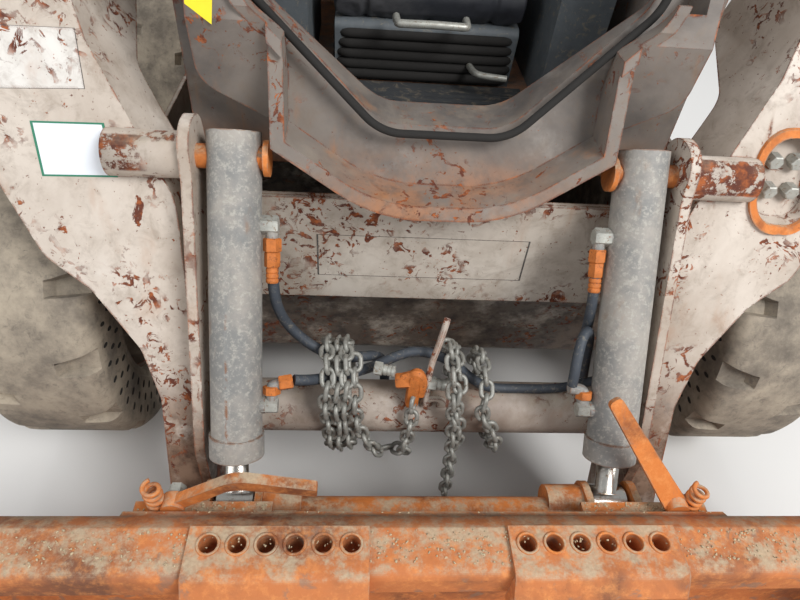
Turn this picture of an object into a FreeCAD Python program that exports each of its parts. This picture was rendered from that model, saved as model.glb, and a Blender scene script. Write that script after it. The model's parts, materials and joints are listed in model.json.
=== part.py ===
import FreeCAD, Part
import math
import os

# A skid steer loader with radial lift arms, a quick coupler and a wide bucket, in millimetres.
# The front faces -Y and Z is up. Left and right are the driver's: left is +X, right is -X.
# The origin is on the ground, under the middle of the overall box.

# Main frame
frame_half = 600
frame_wall = 10
belly_z = 230
deck_z = 868
panel_y = -495
nose_rear_y = -368
panel_fold_z = 604
panel_fold_reach = 88
panel_fold_drop = 74
panel_wall = 8
rear_wall_y = 1640
hood_z = 1180
hood_wall = 12
hood_half = frame_half - 120
grille_front_y = 722
bulkhead_y = 660
tower_inner_x = frame_half - 110
tower_top_radius = 80
engine_half = 290
engine_bottom_z = 470
engine_front_y = 760
engine_rear_y = 1380
engine_top_z = 1080
gate_half = frame_half - 80
gate_hinge_x = frame_half - 64
gate_hinge_y = rear_wall_y + 22

# Wheels
front_axle_y = -235
rear_axle_y = 913
tyre_radius = 415
tyre_inner_x = frame_half + 100
tyre_outer_x = tyre_inner_x + 285
tyre_core_radius = tyre_radius - 22
rim_radius = tyre_radius - 161
sidewall_inset = 14
lug_count = 14
lug_length = 64
lug_sweep_deg = 11
spindle_radius = 40
spindle_gap = 0.4
axle_tube_radius = 78
axle_tube_end_x = tyre_inner_x - 10

# Lift arms: pivot on the towers, box section beside the cab, legs down to the coupler
arm_pivot_y = 1175
arm_pivot_z = 1500
arm_pin_radius = 32
pin_gap = 0.4
arm_inner_x = tyre_inner_x
arm_outer_x = tyre_inner_x + 100
arm_end_radius = 85
leg_inner_x = 445
leg_width = 88
nose_half = leg_inner_x - 10
leg_foot_y = -925
leg_foot_z = 170
leg_lean = math.tan(math.radians(28))
leg_depth = 165
cross_tube_y = -675
cross_tube_z = 440
cross_tube_radius = 57.5

# Tilt linkage
coupler_pivot_y = -845
coupler_pivot_z = 165
coupler_pin_radius = 22
leg_end_radius = 75
tilt_top_y = -513
tilt_top_z = 962
tilt_eye_y = -887
tilt_eye_z = 395
tilt_x = leg_inner_x - 65
tilt_barrel_radius = 49
tilt_barrel_length = 574
tilt_rod_radius = 22.5
tilt_rod_inside = 480
tilt_eye_radius = 40
tilt_eye_half = 35
ear_front_step = 60
ear_thickness = 20

# Lift cylinders
lift_base_y = 1400
lift_base_z = 780
lift_eye_y = 620
lift_eye_z = 1350
lift_x = frame_half + 52
lift_pin_radius = 22
lift_barrel_radius = 38
lift_barrel_length = 860
lift_rod_radius = 21
lift_rod_inside = 500
lift_eye_radius = 42
lift_eye_half = 35
bore_gap = 0.5

# Coupler and bucket
coupler_front_y = -980
coupler_plate = 20
coupler_half = leg_inner_x + 108
lever_x = leg_inner_x + 27
coupler_bottom_z = 110
coupler_top_z = 497
coupler_ear = 15
coupler_tube_y = -910
coupler_tube_z = 382
coupler_tube_radius = 40
bucket_half = 990
bucket_lip_y = -1725
bucket_floor_z = 25
bucket_wall = 10
bucket_heel_radius = 130
beam_front_y = -1095
beam_rear_y = -1012
beam_top_z = 550
beam_bottom_z = 475
bracket_inner_x = 120
bracket_outer_x = 420
bracket_hole_radius = 16
bracket_hole_pitch = 47

# Cab
cab_half = 475
cab_wall = 25
cab_floor_z = 885
cab_top_z = 2065
cab_rear_y = 640
cab_lean = math.tan(math.radians(20))
sill_y = -585
cab_full_y = -395
cab_hinge_y = bulkhead_y + 25
cab_hinge_z = 1290
cab_hinge_radius = 14
seat_bar_pivot_y = 574
seat_bar_pivot_z = cab_top_z - 425
seat_bar_tip_y = 60
seat_bar_tip_z = cab_top_z - 255

SIDES = [("left", 1), ("right", -1)]


def vec(x, y, z):
    return FreeCAD.Vector(x, y, z)


def save(name, *shapes):
    """Write one node as a STEP file, with loose solids held in a compound."""
    solids = []
    for shape in shapes:
        solids.extend(shape.Solids)
    result = solids[0] if len(solids) == 1 else Part.makeCompound(solids)
    result.exportStep("parts/" + name + ".step")


def mirrored(shape):
    return shape.mirror(vec(0, 0, 0), vec(1, 0, 0))


def on_side(shape, side):
    return shape if side > 0 else mirrored(shape)


def box(x0, x1, y0, y1, z0, z1):
    return Part.makeBox(x1 - x0, y1 - y0, z1 - z0, vec(x0, y0, z0))


def outline(corners, place):
    """A closed face from (u, v) or (u, v, radius) corners, where place turns u, v into a point."""
    count = len(corners)
    edges = []
    ends = []
    for i in range(count):
        corner = corners[i]
        point = place(corner[0], corner[1])
        radius = corner[2] if len(corner) > 2 else 0
        if radius <= 0:
            ends.append((point, None, point))
            continue
        before = corners[i - 1]
        after = corners[(i + 1) % count]
        to_before = place(before[0], before[1]).sub(point).normalize()
        to_after = place(after[0], after[1]).sub(point).normalize()
        half = to_before.getAngle(to_after) / 2
        reach = radius / math.tan(half)
        middle = to_before.add(to_after).normalize()
        centre = point.add(middle.multiply(radius / math.sin(half)))
        inward = point.sub(centre).normalize()
        start = point.add(vec(*to_before).multiply(reach))
        stop = point.add(vec(*to_after).multiply(reach))
        ends.append((start, centre.add(inward.multiply(radius)), stop))
    for i in range(count):
        start, middle, stop = ends[i]
        if middle is not None:
            edges.append(Part.Arc(start, middle, stop).toShape())
        following = ends[(i + 1) % count][0]
        if stop.distanceToPoint(following) > 0.001:
            edges.append(Part.LineSegment(stop, following).toShape())
    return Part.Face(Part.Wire(edges))


def prism_x(corners, x0, x1):
    face = outline(corners, lambda u, v: vec(x0, u, v))
    return face.extrude(vec(x1 - x0, 0, 0))


def prism_y(corners, y0, y1):
    face = outline(corners, lambda u, v: vec(u, y0, v))
    return face.extrude(vec(0, y1 - y0, 0))


def prism_z(corners, z0, z1):
    face = outline(corners, lambda u, v: vec(u, v, z0))
    return face.extrude(vec(0, 0, z1 - z0))


def bar_x(y, z, radius, x0, x1):
    return Part.makeCylinder(radius, x1 - x0, vec(x0, y, z), vec(1, 0, 0))


def bar(start, end, radius):
    run = end.sub(start)
    return Part.makeCylinder(radius, run.Length, start, run)


def bent_inside(points, wall):
    """The corners of a bent sheet's inner side, wall away from (u, v) points on its outer side."""
    normals = []
    for i in range(len(points) - 1):
        du = points[i + 1][0] - points[i][0]
        dv = points[i + 1][1] - points[i][1]
        size = math.hypot(du, dv)
        normals.append((-dv / size, du / size))
    inner = []
    for i in range(len(points)):
        first = normals[max(i - 1, 0)]
        second = normals[min(i, len(normals) - 1)]
        share = wall / (1 + first[0] * second[0] + first[1] * second[1])
        inner.append((points[i][0] + (first[0] + second[0]) * share,
                      points[i][1] + (first[1] + second[1]) * share))
    return inner


def joined(first, *others):
    return first.multiFuse(list(others)).removeSplitter()


def leg_front_y(z):
    """Where the leaning front face of a leg lies at height z."""
    return leg_foot_y + (z - leg_foot_z) * leg_lean


def tyre():
    """A solid tyre about the X axis at the origin, its middle at x = 0, with chevron lugs."""
    half = (tyre_outer_x - tyre_inner_x) / 2
    side = half - sidewall_inset
    section = [
        (-side + 20, rim_radius),
        (side - 20, rim_radius),
        (side, rim_radius + 30),
        (side, tyre_core_radius - 34),
        (side - 12, tyre_core_radius - 8),
        (side - 60, tyre_core_radius),
        (-side + 60, tyre_core_radius),
        (-side + 12, tyre_core_radius - 8),
        (-side, tyre_core_radius - 34),
        (-side, rim_radius + 30),
    ]
    face = outline(section, lambda u, v: vec(u, 0, v))
    body = face.revolve(vec(0, 0, 0), vec(1, 0, 0), 360)
    turn_arc = math.radians(lug_sweep_deg) * tyre_radius
    step = 360 / lug_count
    lugs = []
    for i in range(lug_count):
        for hand, shift in ((1, 0), (-1, step / 2)):
            corners = [
                (hand * 6, -turn_arc / 2 - lug_length / 4),
                (hand * half, turn_arc / 2 - lug_length / 2),
                (hand * half, turn_arc / 2 + lug_length / 2),
                (hand * 6, -turn_arc / 2 + lug_length / 4),
            ]
            lug = prism_z(corners, tyre_core_radius - 40, tyre_radius + 20)
            lug.rotate(vec(0, 0, 0), vec(1, 0, 0), i * step + shift)
            lugs.append(lug)
    tread = Part.makeCompound(lugs).common(bar_x(0, 0, tyre_radius, -half, half))
    return joined(body, *tread.Solids)


def rim():
    """A dished wheel with its hub and the spindle that turns in the axle tube, about X at x = 0."""
    half = (tyre_outer_x - tyre_inner_x) / 2 - sidewall_inset - 22
    dish = 40
    section = [
        (-half, rim_radius - 0.3),
        (-half, rim_radius - 12),
        (dish - 10, rim_radius - 16),
        (dish - 10, 95),
        (-half, 95),
        (-half, 0),
        (dish + 35, 0),
        (dish + 35, 70),
        (dish + 12, 105),
        (dish + 12, rim_radius - 20),
        (half, rim_radius - 12),
        (half, rim_radius - 0.3),
    ]
    face = outline(section, lambda u, v: vec(u, 0, v))
    wheel = face.revolve(vec(0, 0, 0), vec(1, 0, 0), 360)
    middle = (tyre_inner_x + tyre_outer_x) / 2
    spindle = bar_x(0, 0, spindle_radius, frame_half + 15 - middle, 0)
    return joined(wheel, spindle)


def wheels():
    """Four driven wheels on their spindles."""
    middle = (tyre_inner_x + tyre_outer_x) / 2
    one_tyre = tyre()
    one_rim = rim()
    for end, axle_y in (("front", front_axle_y), ("rear", rear_axle_y)):
        for name, side in SIDES:
            for kind, shape in (("tyre", one_tyre), ("rim", one_rim)):
                placed = shape.copy()
                placed.translate(vec(middle, axle_y, tyre_radius))
                save(kind + "_" + end + "_" + name, on_side(placed, side))


def axle_tubes():
    """Four axle housings, open for the spindles, bolted to the frame's sides."""
    tubes = []
    for axle_y in (front_axle_y, rear_axle_y):
        for name, side in SIDES:
            tube = bar_x(axle_y, tyre_radius, axle_tube_radius, frame_half, axle_tube_end_x)
            flange = bar_x(axle_y, tyre_radius, axle_tube_radius + 40, frame_half, frame_half + 14)
            bore = bar_x(axle_y, tyre_radius, spindle_radius + spindle_gap, frame_half, axle_tube_end_x)
            tubes.append(on_side(tube.fuse(flange).cut(bore), side))
    save("axle_tubes", *tubes)


def panel_bend():
    """Outer side of the folded front panel in (y, z), from its top edge down and under."""
    return [
        (panel_y, deck_z),
        (panel_y, panel_fold_z),
        (panel_y + panel_fold_reach, panel_fold_z - panel_fold_drop),
    ]


def nose_plan(inset):
    """The frame seen from above: narrow between the arms' legs, full width behind them."""
    half = frame_half - inset
    nose = nose_half - inset
    front = panel_y - 1
    return [
        (-nose, front), (nose, front), (nose, nose_rear_y + inset), (half, nose_rear_y + inset),
        (half, rear_wall_y + 1), (-half, rear_wall_y + 1), (-half, nose_rear_y + inset),
        (-nose, nose_rear_y + inset),
    ]


def main_frame():
    """Welded tub with an open top, the rear towers that carry the arms, and the bulkhead."""
    wall = frame_wall
    nose = bent_inside(panel_bend(), panel_wall)
    hollow = bent_inside(panel_bend(), panel_wall + wall)
    side = nose + [
        (-330, belly_z, 60),
        (rear_wall_y - 310, belly_z, 80),
        (rear_wall_y, 400),
        (rear_wall_y, hood_z - hood_wall),
        (bulkhead_y, hood_z - hood_wall),
        (bulkhead_y, deck_z),
    ]
    inside = hollow[1:] + [
        (-323, belly_z + wall, 50),
        (rear_wall_y - 314, belly_z + wall, 70),
        (rear_wall_y - wall, 406),
        (rear_wall_y - wall, hood_z + 1),
        (bulkhead_y + wall, hood_z + 1),
        (bulkhead_y + wall, deck_z - 30),
        (bulkhead_y - 2, deck_z - 30),
        (bulkhead_y - 2, deck_z + 1),
        (hollow[0][0], deck_z + 1),
    ]
    tub = prism_x(side, -frame_half, frame_half).common(prism_z(nose_plan(0), belly_z, hood_z))
    core = prism_x(inside, wall - frame_half, frame_half - wall)
    tub = tub.cut(core.common(prism_z(nose_plan(wall), belly_z, hood_z + 5)))
    tower = [
        (arm_pivot_y - 195, hood_z - 140),
        (arm_pivot_y - tower_top_radius, arm_pivot_z, tower_top_radius * 0.6),
        (arm_pivot_y - tower_top_radius + 10, arm_pivot_z + tower_top_radius, 50),
        (arm_pivot_y + tower_top_radius - 10, arm_pivot_z + tower_top_radius, 50),
        (arm_pivot_y + tower_top_radius + 20, arm_pivot_z, 60),
        (arm_pivot_y + 245, hood_z - 140),
    ]
    pieces = []
    for name, hand in SIDES:
        plate = prism_x(tower, tower_inner_x, frame_half)
        pin = bar_x(arm_pivot_y, arm_pivot_z, arm_pin_radius, frame_half - 5, arm_outer_x + 8)
        collar = bar_x(arm_pivot_y, arm_pivot_z, 55, frame_half - 5, arm_inner_x - 5)
        head = bar_x(arm_pivot_y, arm_pivot_z, 48, arm_outer_x + 5, arm_outer_x + 18)
        base = bar_x(lift_base_y, lift_base_z, lift_pin_radius, frame_half - 5, lift_x + 48)
        knob = bar_x(lift_base_y, lift_base_z, lift_pin_radius + 10, lift_x + 40, lift_x + 48)
        for piece in (plate, pin, collar, head, base, knob):
            pieces.append(on_side(piece, hand))
        lug = prism_x(
            [(bulkhead_y, hood_z - 40), (bulkhead_y, cab_hinge_z - 20), (bulkhead_y + 6, cab_hinge_z + 28, 10),
             (bulkhead_y + 50, cab_hinge_z + 28, 30), (bulkhead_y + 60, hood_z - 40)],
            300, 320)
        pieces.append(on_side(lug, hand))
        pieces.append(on_side(bar_x(cab_hinge_y, cab_hinge_z, cab_hinge_radius, 300, 352), hand))
        rail = box(hood_half, frame_half, bulkhead_y, rear_wall_y, hood_z - hood_wall, hood_z)
        pieces.append(on_side(rail, hand))
    for z0 in (560, 980):
        for low, high in ((z0, z0 + 20), (z0 + 56, z0 + 76)):
            pieces.append(box(gate_hinge_x - 12, gate_hinge_x + 12, rear_wall_y - 1, gate_hinge_y + 9, low, high))
        pieces.append(Part.makeCylinder(8, 76, vec(gate_hinge_x, gate_hinge_y, z0)))
    pieces.append(box(-hood_half, hood_half, bulkhead_y, grille_front_y, hood_z - hood_wall, hood_z))
    beam_y = arm_pivot_y + 65
    beam = box(-tower_inner_x, tower_inner_x, beam_y, beam_y + 80, hood_z + 30, hood_z + 110)
    for y0 in (engine_front_y + 60, engine_rear_y - 140):
        pieces.append(box(-engine_half, engine_half, y0, y0 + 60, belly_z + wall - 1, engine_bottom_z))
    save("main_frame", joined(tub, beam, *pieces))


def front_panel():
    """The broad folded panel under the cab, welded to the tub's front."""
    outer = panel_bend()
    strip = outer + bent_inside(outer, panel_wall)[::-1]
    save("front_panel", prism_x(strip, -nose_half, nose_half))


def engine():
    save("engine_block", box(-engine_half, engine_half, engine_front_y, engine_rear_y, engine_bottom_z, engine_top_z))


def rear_body():
    """The hood grille over the engine, and the tailgate on its side hinge."""
    half = hood_half - 3
    grille = box(-half, half, grille_front_y + 3, rear_wall_y, hood_z - hood_wall, hood_z)
    slots = []
    for row in range(7):
        y0 = grille_front_y + 138 + row * 46
        slots.append(box(60 - hood_half, hood_half - 60, y0, y0 + 24, hood_z - hood_wall - 1, hood_z + 1))
    save("hood_grille", grille.cut(Part.makeCompound(slots)))
    gate_y = rear_wall_y + 5
    gate = prism_x([(gate_y, 430), (gate_y, hood_z - 10), (gate_y + 45, hood_z - 60, 30), (gate_y + 80, 640, 40),
                    (gate_y + 60, 430, 20)], -gate_half, gate_half)
    louvres = []
    for row in range(8):
        z0 = 760 + row * 40
        louvres.append(box(140 - gate_half, gate_half - 140, gate_y + 30, gate_y + 90, z0, z0 + 18))
    gate = gate.cut(Part.makeCompound(louvres))
    knuckles = []
    for z0 in (560, 980):
        knuckle = Part.makeCylinder(12, 34, vec(gate_hinge_x, gate_hinge_y, z0 + 21))
        tab = box(gate_half - 5, gate_hinge_x, gate_hinge_y - 7, gate_hinge_y + 7, z0 + 21, z0 + 55)
        pin = Part.makeCylinder(8 + pin_gap, 40, vec(gate_hinge_x, gate_hinge_y, z0 + 18))
        knuckles.append(knuckle.fuse(tab).cut(pin))
    save("tailgate", joined(gate, *knuckles))


def leg_outline():
    """The front face of a leg seen from the front, as (x, z, radius) corners."""
    foot = leg_inner_x
    top = arm_inner_x
    return [
        (foot, 60),
        (foot + 6, 366),
        (foot + 23, 588),
        (foot + 45, 886, 120),
        (foot + 109, 993, 160),
        (top - 73, 1120, 60),
        (top - 20, 1300),
        (top + 112, 1300),
        (top + 111, 922, 60),
        (top + 35, 785, 60),
        (top - 43, 730, 50),
        (foot + 127, 624, 60),
        (foot + 95, 529, 40),
        (foot + leg_width, 366),
        (foot + leg_width, 60),
    ]


def arm():
    """The left arm: a rear box with its pivot bore, and the leaning leg with its flared face."""
    foot_z = coupler_pivot_z - leg_end_radius
    top_z = 1235
    silhouette = [
        (leg_front_y(foot_z), foot_z, 60),
        (leg_front_y(top_z), top_z, 45),
        (leg_front_y(top_z) + 90, top_z + 50, 60),
        (-120, 1322),
        (-120, 1115),
        (leg_front_y(900) + leg_depth + 40, 1040, 60),
        (leg_front_y(440) + leg_depth, 440, 120),
        (coupler_pivot_y + leg_end_radius, foot_z, 60),
    ]
    leg = prism_x(silhouette, leg_inner_x - 5, arm_outer_x + 60).common(prism_y(leg_outline(), -1000, 0))
    beside_tyre = tyre_inner_x - 12
    leg = leg.cut(bar_x(front_axle_y, tyre_radius, tyre_radius + 24, beside_tyre, arm_outer_x + 100))
    rear = [
        (leg_front_y(top_z) + 60, top_z - 20, 40),
        (leg_front_y(top_z) + 90, top_z + 50, 60),
        (arm_pivot_y - 60, arm_pivot_z + arm_end_radius, 60),
        (arm_pivot_y + arm_end_radius, arm_pivot_z + arm_end_radius, 70),
        (arm_pivot_y + arm_end_radius, arm_pivot_z - arm_end_radius, 70),
        (arm_pivot_y - 120, arm_pivot_z - arm_end_radius, 80),
        (-150, 1107, 60),
        (leg_front_y(top_z) + 60, 1090, 30),
    ]
    box_section = prism_x(rear, arm_inner_x, arm_outer_x)
    boss = bar_x(lift_eye_y, lift_eye_z, 45, lift_x + lift_eye_half + 6, arm_inner_x)
    ear_low = 350
    ear_high = tilt_top_z - 20
    ear = prism_x([
        (leg_front_y(ear_low), ear_low),
        (leg_front_y(ear_low + 130) - ear_front_step, ear_low + 130, 60),
        (leg_front_y(ear_high) - ear_front_step, ear_high, 60),
        (tilt_top_y - 40, tilt_top_z + 68, 55),
        (tilt_top_y + 62, tilt_top_z + 68, 55),
        (tilt_top_y + 75, tilt_top_z - 60, 40),
        (leg_front_y(ear_low) + 100, ear_low),
    ], leg_inner_x, leg_inner_x + ear_thickness)
    tube = bar_x(tilt_top_y, tilt_top_z, 42, leg_inner_x + ear_thickness, leg_inner_x + 155)
    solid = joined(leg, box_section, boss, ear, tube)
    bores = [
        bar_x(arm_pivot_y, arm_pivot_z, arm_pin_radius + pin_gap, arm_inner_x - 1, arm_outer_x + 1),
        bar_x(coupler_pivot_y, coupler_pivot_z, coupler_pin_radius + pin_gap, leg_inner_x - 15, leg_inner_x + 115),
    ]
    return solid.cut(Part.makeCompound(bores))


def lift_arms():
    """Both arms, the tube that joins their legs, and the pins that hold the tilt cylinders."""
    left = arm()
    save("lift_arm_left", left)
    save("lift_arm_right", mirrored(left))
    reach = leg_inner_x + 10
    tube = bar_x(cross_tube_y, cross_tube_z, cross_tube_radius, -reach, reach)
    tube = tube.cut(bar_x(cross_tube_y, cross_tube_z, cross_tube_radius - 8, -reach, reach))
    tube = tube.cut(Part.makeCompound([left, mirrored(left)]))
    save("arm_cross_tube", tube)
    pins = []
    for name, side in SIDES:
        pin = bar_x(tilt_top_y, tilt_top_z, coupler_pin_radius, tilt_x - 54, leg_inner_x)
        head = bar_x(tilt_top_y, tilt_top_z, 33, tilt_x - 64, tilt_x - 54)
        pins.append(on_side(pin.fuse(head), side))
    save("tilt_top_pins", *pins)


def cylinder_pair(name, base, eye, x, barrel_radius, barrel_length, rod_radius, rod_inside, eye_radius,
                  eye_half, base_radius):
    """Barrel and rod of a cylinder from base to eye, each a (y, z) pair, on both sides."""
    start = vec(x, base[0], base[1])
    end = vec(x, eye[0], eye[1])
    along = end.sub(start).normalize()

    def at(distance):
        return start.add(vec(*along).multiply(distance))

    length = end.sub(start).Length
    barrel = bar(at(-45), at(barrel_length), barrel_radius)
    gland = bar(at(barrel_length - 45), at(barrel_length), barrel_radius + 4)
    hole = bar(at(barrel_length - rod_inside - 36), at(barrel_length + 1), rod_radius + bore_gap)
    cross = bar_x(base[0], base[1], base_radius + pin_gap, x - 100, x + 100)
    barrel = barrel.fuse(gland).cut(hole).cut(cross)
    rod = bar(at(barrel_length - rod_inside), at(length), rod_radius)
    lug = bar_x(eye[0], eye[1], eye_radius, x - eye_half, x + eye_half)
    rod = rod.fuse(lug)
    for hand_name, side in SIDES:
        save(name + "_barrel_" + hand_name, on_side(barrel, side))
        save(name + "_rod_" + hand_name, on_side(rod, side))


def cylinders():
    cylinder_pair("tilt", (tilt_top_y, tilt_top_z), (tilt_eye_y, tilt_eye_z), tilt_x, tilt_barrel_radius,
                  tilt_barrel_length, tilt_rod_radius, tilt_rod_inside, tilt_eye_radius, tilt_eye_half,
                  coupler_pin_radius)
    cylinder_pair("lift", (lift_base_y, lift_base_z), (lift_eye_y, lift_eye_z), lift_x, lift_barrel_radius,
                  lift_barrel_length, lift_rod_radius, lift_rod_inside, lift_eye_radius, lift_eye_half,
                  lift_pin_radius)


def coupler():
    """The quick coupler: two face plates, top bar, cross tube, and ears on the arms' and rods' pins."""
    back = coupler_front_y + coupler_plate
    pieces = []
    for name, side in SIDES:
        plate = box(300, coupler_half, coupler_front_y, back, coupler_bottom_z, coupler_top_z)
        slot = box(leg_inner_x + 5, leg_inner_x + 75, coupler_front_y - 1, back + 1, coupler_bottom_z + 26, coupler_bottom_z + 62)
        pieces.append(on_side(plate.cut(slot), side))
        # ears: inner x, whether it reaches up to the tilt rod's eye, whether it carries the arm's pin
        for inner_x, to_rod, to_arm in (
                (tilt_x - 55, True, False), (leg_inner_x - 21, True, True), (coupler_half - coupler_ear, False, True)):
            ear = [(back, coupler_bottom_z + 20)]
            if to_arm:
                ear.append((coupler_pivot_y + 40, coupler_pivot_z - 42, 38))
                ear.append((coupler_pivot_y + 40, coupler_pivot_z + 42, 38))
            if to_rod:
                ear.append((tilt_eye_y - 20, coupler_pivot_z + 120, 40))
                ear.append((tilt_eye_y + 42, tilt_eye_z - 60, 30))
                ear.append((tilt_eye_y + 42, tilt_eye_z + 42, 36))
            ear.append((back, coupler_top_z - 45))
            pieces.append(on_side(prism_x(ear, inner_x, inner_x + coupler_ear), side))
        pin = bar_x(coupler_pivot_y, coupler_pivot_z, coupler_pin_radius, leg_inner_x - 21, coupler_half)
        pieces.append(on_side(pin, side))
    top = box(-coupler_half, coupler_half, coupler_front_y, back, coupler_top_z - 70, coupler_top_z)
    ledge = box(-coupler_half, coupler_half, back - 1, back + 38, coupler_top_z - 40, coupler_top_z - 28)
    tube = bar_x(coupler_tube_y, coupler_tube_z, coupler_tube_radius, 50 - tilt_x, tilt_x - 50)
    save("coupler_frame", joined(top, ledge, tube, *pieces))


def coupler_levers():
    """The two locking levers, the right one locked and lying inward, the left one raised."""
    back = coupler_front_y + coupler_plate
    # side, turn in degrees above level
    for name, side, turn in (("right", -1, 12), ("left", 1, 55)):
        blade = box(-262, 0, 10, 20, -13, 13)
        boss = Part.makeCylinder(18, 26, vec(0, 0, 0), vec(0, 1, 0))
        lever = joined(boss, blade)
        lever.rotate(vec(0, 0, 0), vec(0, 1, 0), turn)
        lever.translate(vec(lever_x, back, coupler_top_z + 6))
        lever = lever.cut(box(lever_x - 72, lever_x + 68, back - 5, back + 40, coupler_top_z - 30, coupler_top_z - 27.5))
        save("coupler_lever_" + name, on_side(lever, side))


def bucket():
    """A wide low bucket: bent shell, side plates, cutting edge and the top beam with its brackets."""
    wall = bucket_wall
    rear = coupler_front_y
    radius = bucket_heel_radius
    shell = prism_x([
        (bucket_lip_y + 150, bucket_floor_z),
        (rear, bucket_floor_z, radius),
        (rear, beam_bottom_z),
        (rear - wall, beam_bottom_z),
        (rear - wall, bucket_floor_z + wall, radius - wall),
        (bucket_lip_y + 150, bucket_floor_z + wall),
    ], -bucket_half, bucket_half)
    edge = prism_x([
        (bucket_lip_y, bucket_floor_z),
        (bucket_lip_y + 200, bucket_floor_z),
        (bucket_lip_y + 200, bucket_floor_z + 22),
        (bucket_lip_y + 30, bucket_floor_z + 22),
    ], -bucket_half, bucket_half)
    side_plate = [
        (bucket_lip_y + 40, bucket_floor_z),
        (rear, bucket_floor_z, radius),
        (rear, beam_top_z - 20),
        (beam_rear_y, beam_top_z),
        (beam_front_y, beam_top_z, 25),
        (bucket_lip_y + 110, bucket_floor_z + 150, 60),
    ]
    beam = prism_x([
        (beam_front_y, beam_bottom_z, 12),
        (beam_front_y, beam_top_z, 22),
        (beam_rear_y, beam_top_z, 8),
        (rear, beam_top_z - 22),
        (rear, beam_bottom_z),
    ], -bucket_half, bucket_half)
    pieces = [edge, beam]
    for name, side in SIDES:
        pieces.append(on_side(prism_x(side_plate, bucket_half - 12, bucket_half), side))
    hook = prism_x([
        (rear - 1, beam_top_z - 24),
        (rear + 15, coupler_top_z + 18),
        (rear + 15, coupler_top_z),
        (rear - 1, coupler_top_z),
    ], -coupler_half, coupler_half)
    solid = joined(shell, hook, *pieces)
    holes = []
    middle = (beam_front_y + beam_rear_y) / 2 + 10
    for name, side in SIDES:
        for i in range(6):
            x = bracket_inner_x + 30 + i * bracket_hole_pitch
            hole = Part.makeCylinder(bracket_hole_radius, 100, vec(x, middle, beam_bottom_z - 10), vec(0, 0, 1))
            holes.append(on_side(hole, side))
    save("bucket", solid.cut(Part.makeCompound(holes)))
    brackets = []
    for name, side in SIDES:
        plate = prism_x([
            (beam_rear_y, beam_top_z),
            (beam_rear_y, beam_top_z + 8),
            (beam_front_y - 10, beam_top_z + 8, 20),
            (beam_front_y - 10, beam_bottom_z - 12),
            (beam_front_y, beam_bottom_z - 12),
            (beam_front_y, beam_top_z, 22),
        ], bracket_inner_x, bracket_outer_x)
        brackets.append(on_side(plate, side).cut(Part.makeCompound(holes)))
    save("beam_brackets", *brackets)


def cab_front_y(z):
    """The leaning front plane of the cab at height z."""
    return sill_y + (z - cab_floor_z) * cab_lean


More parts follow.
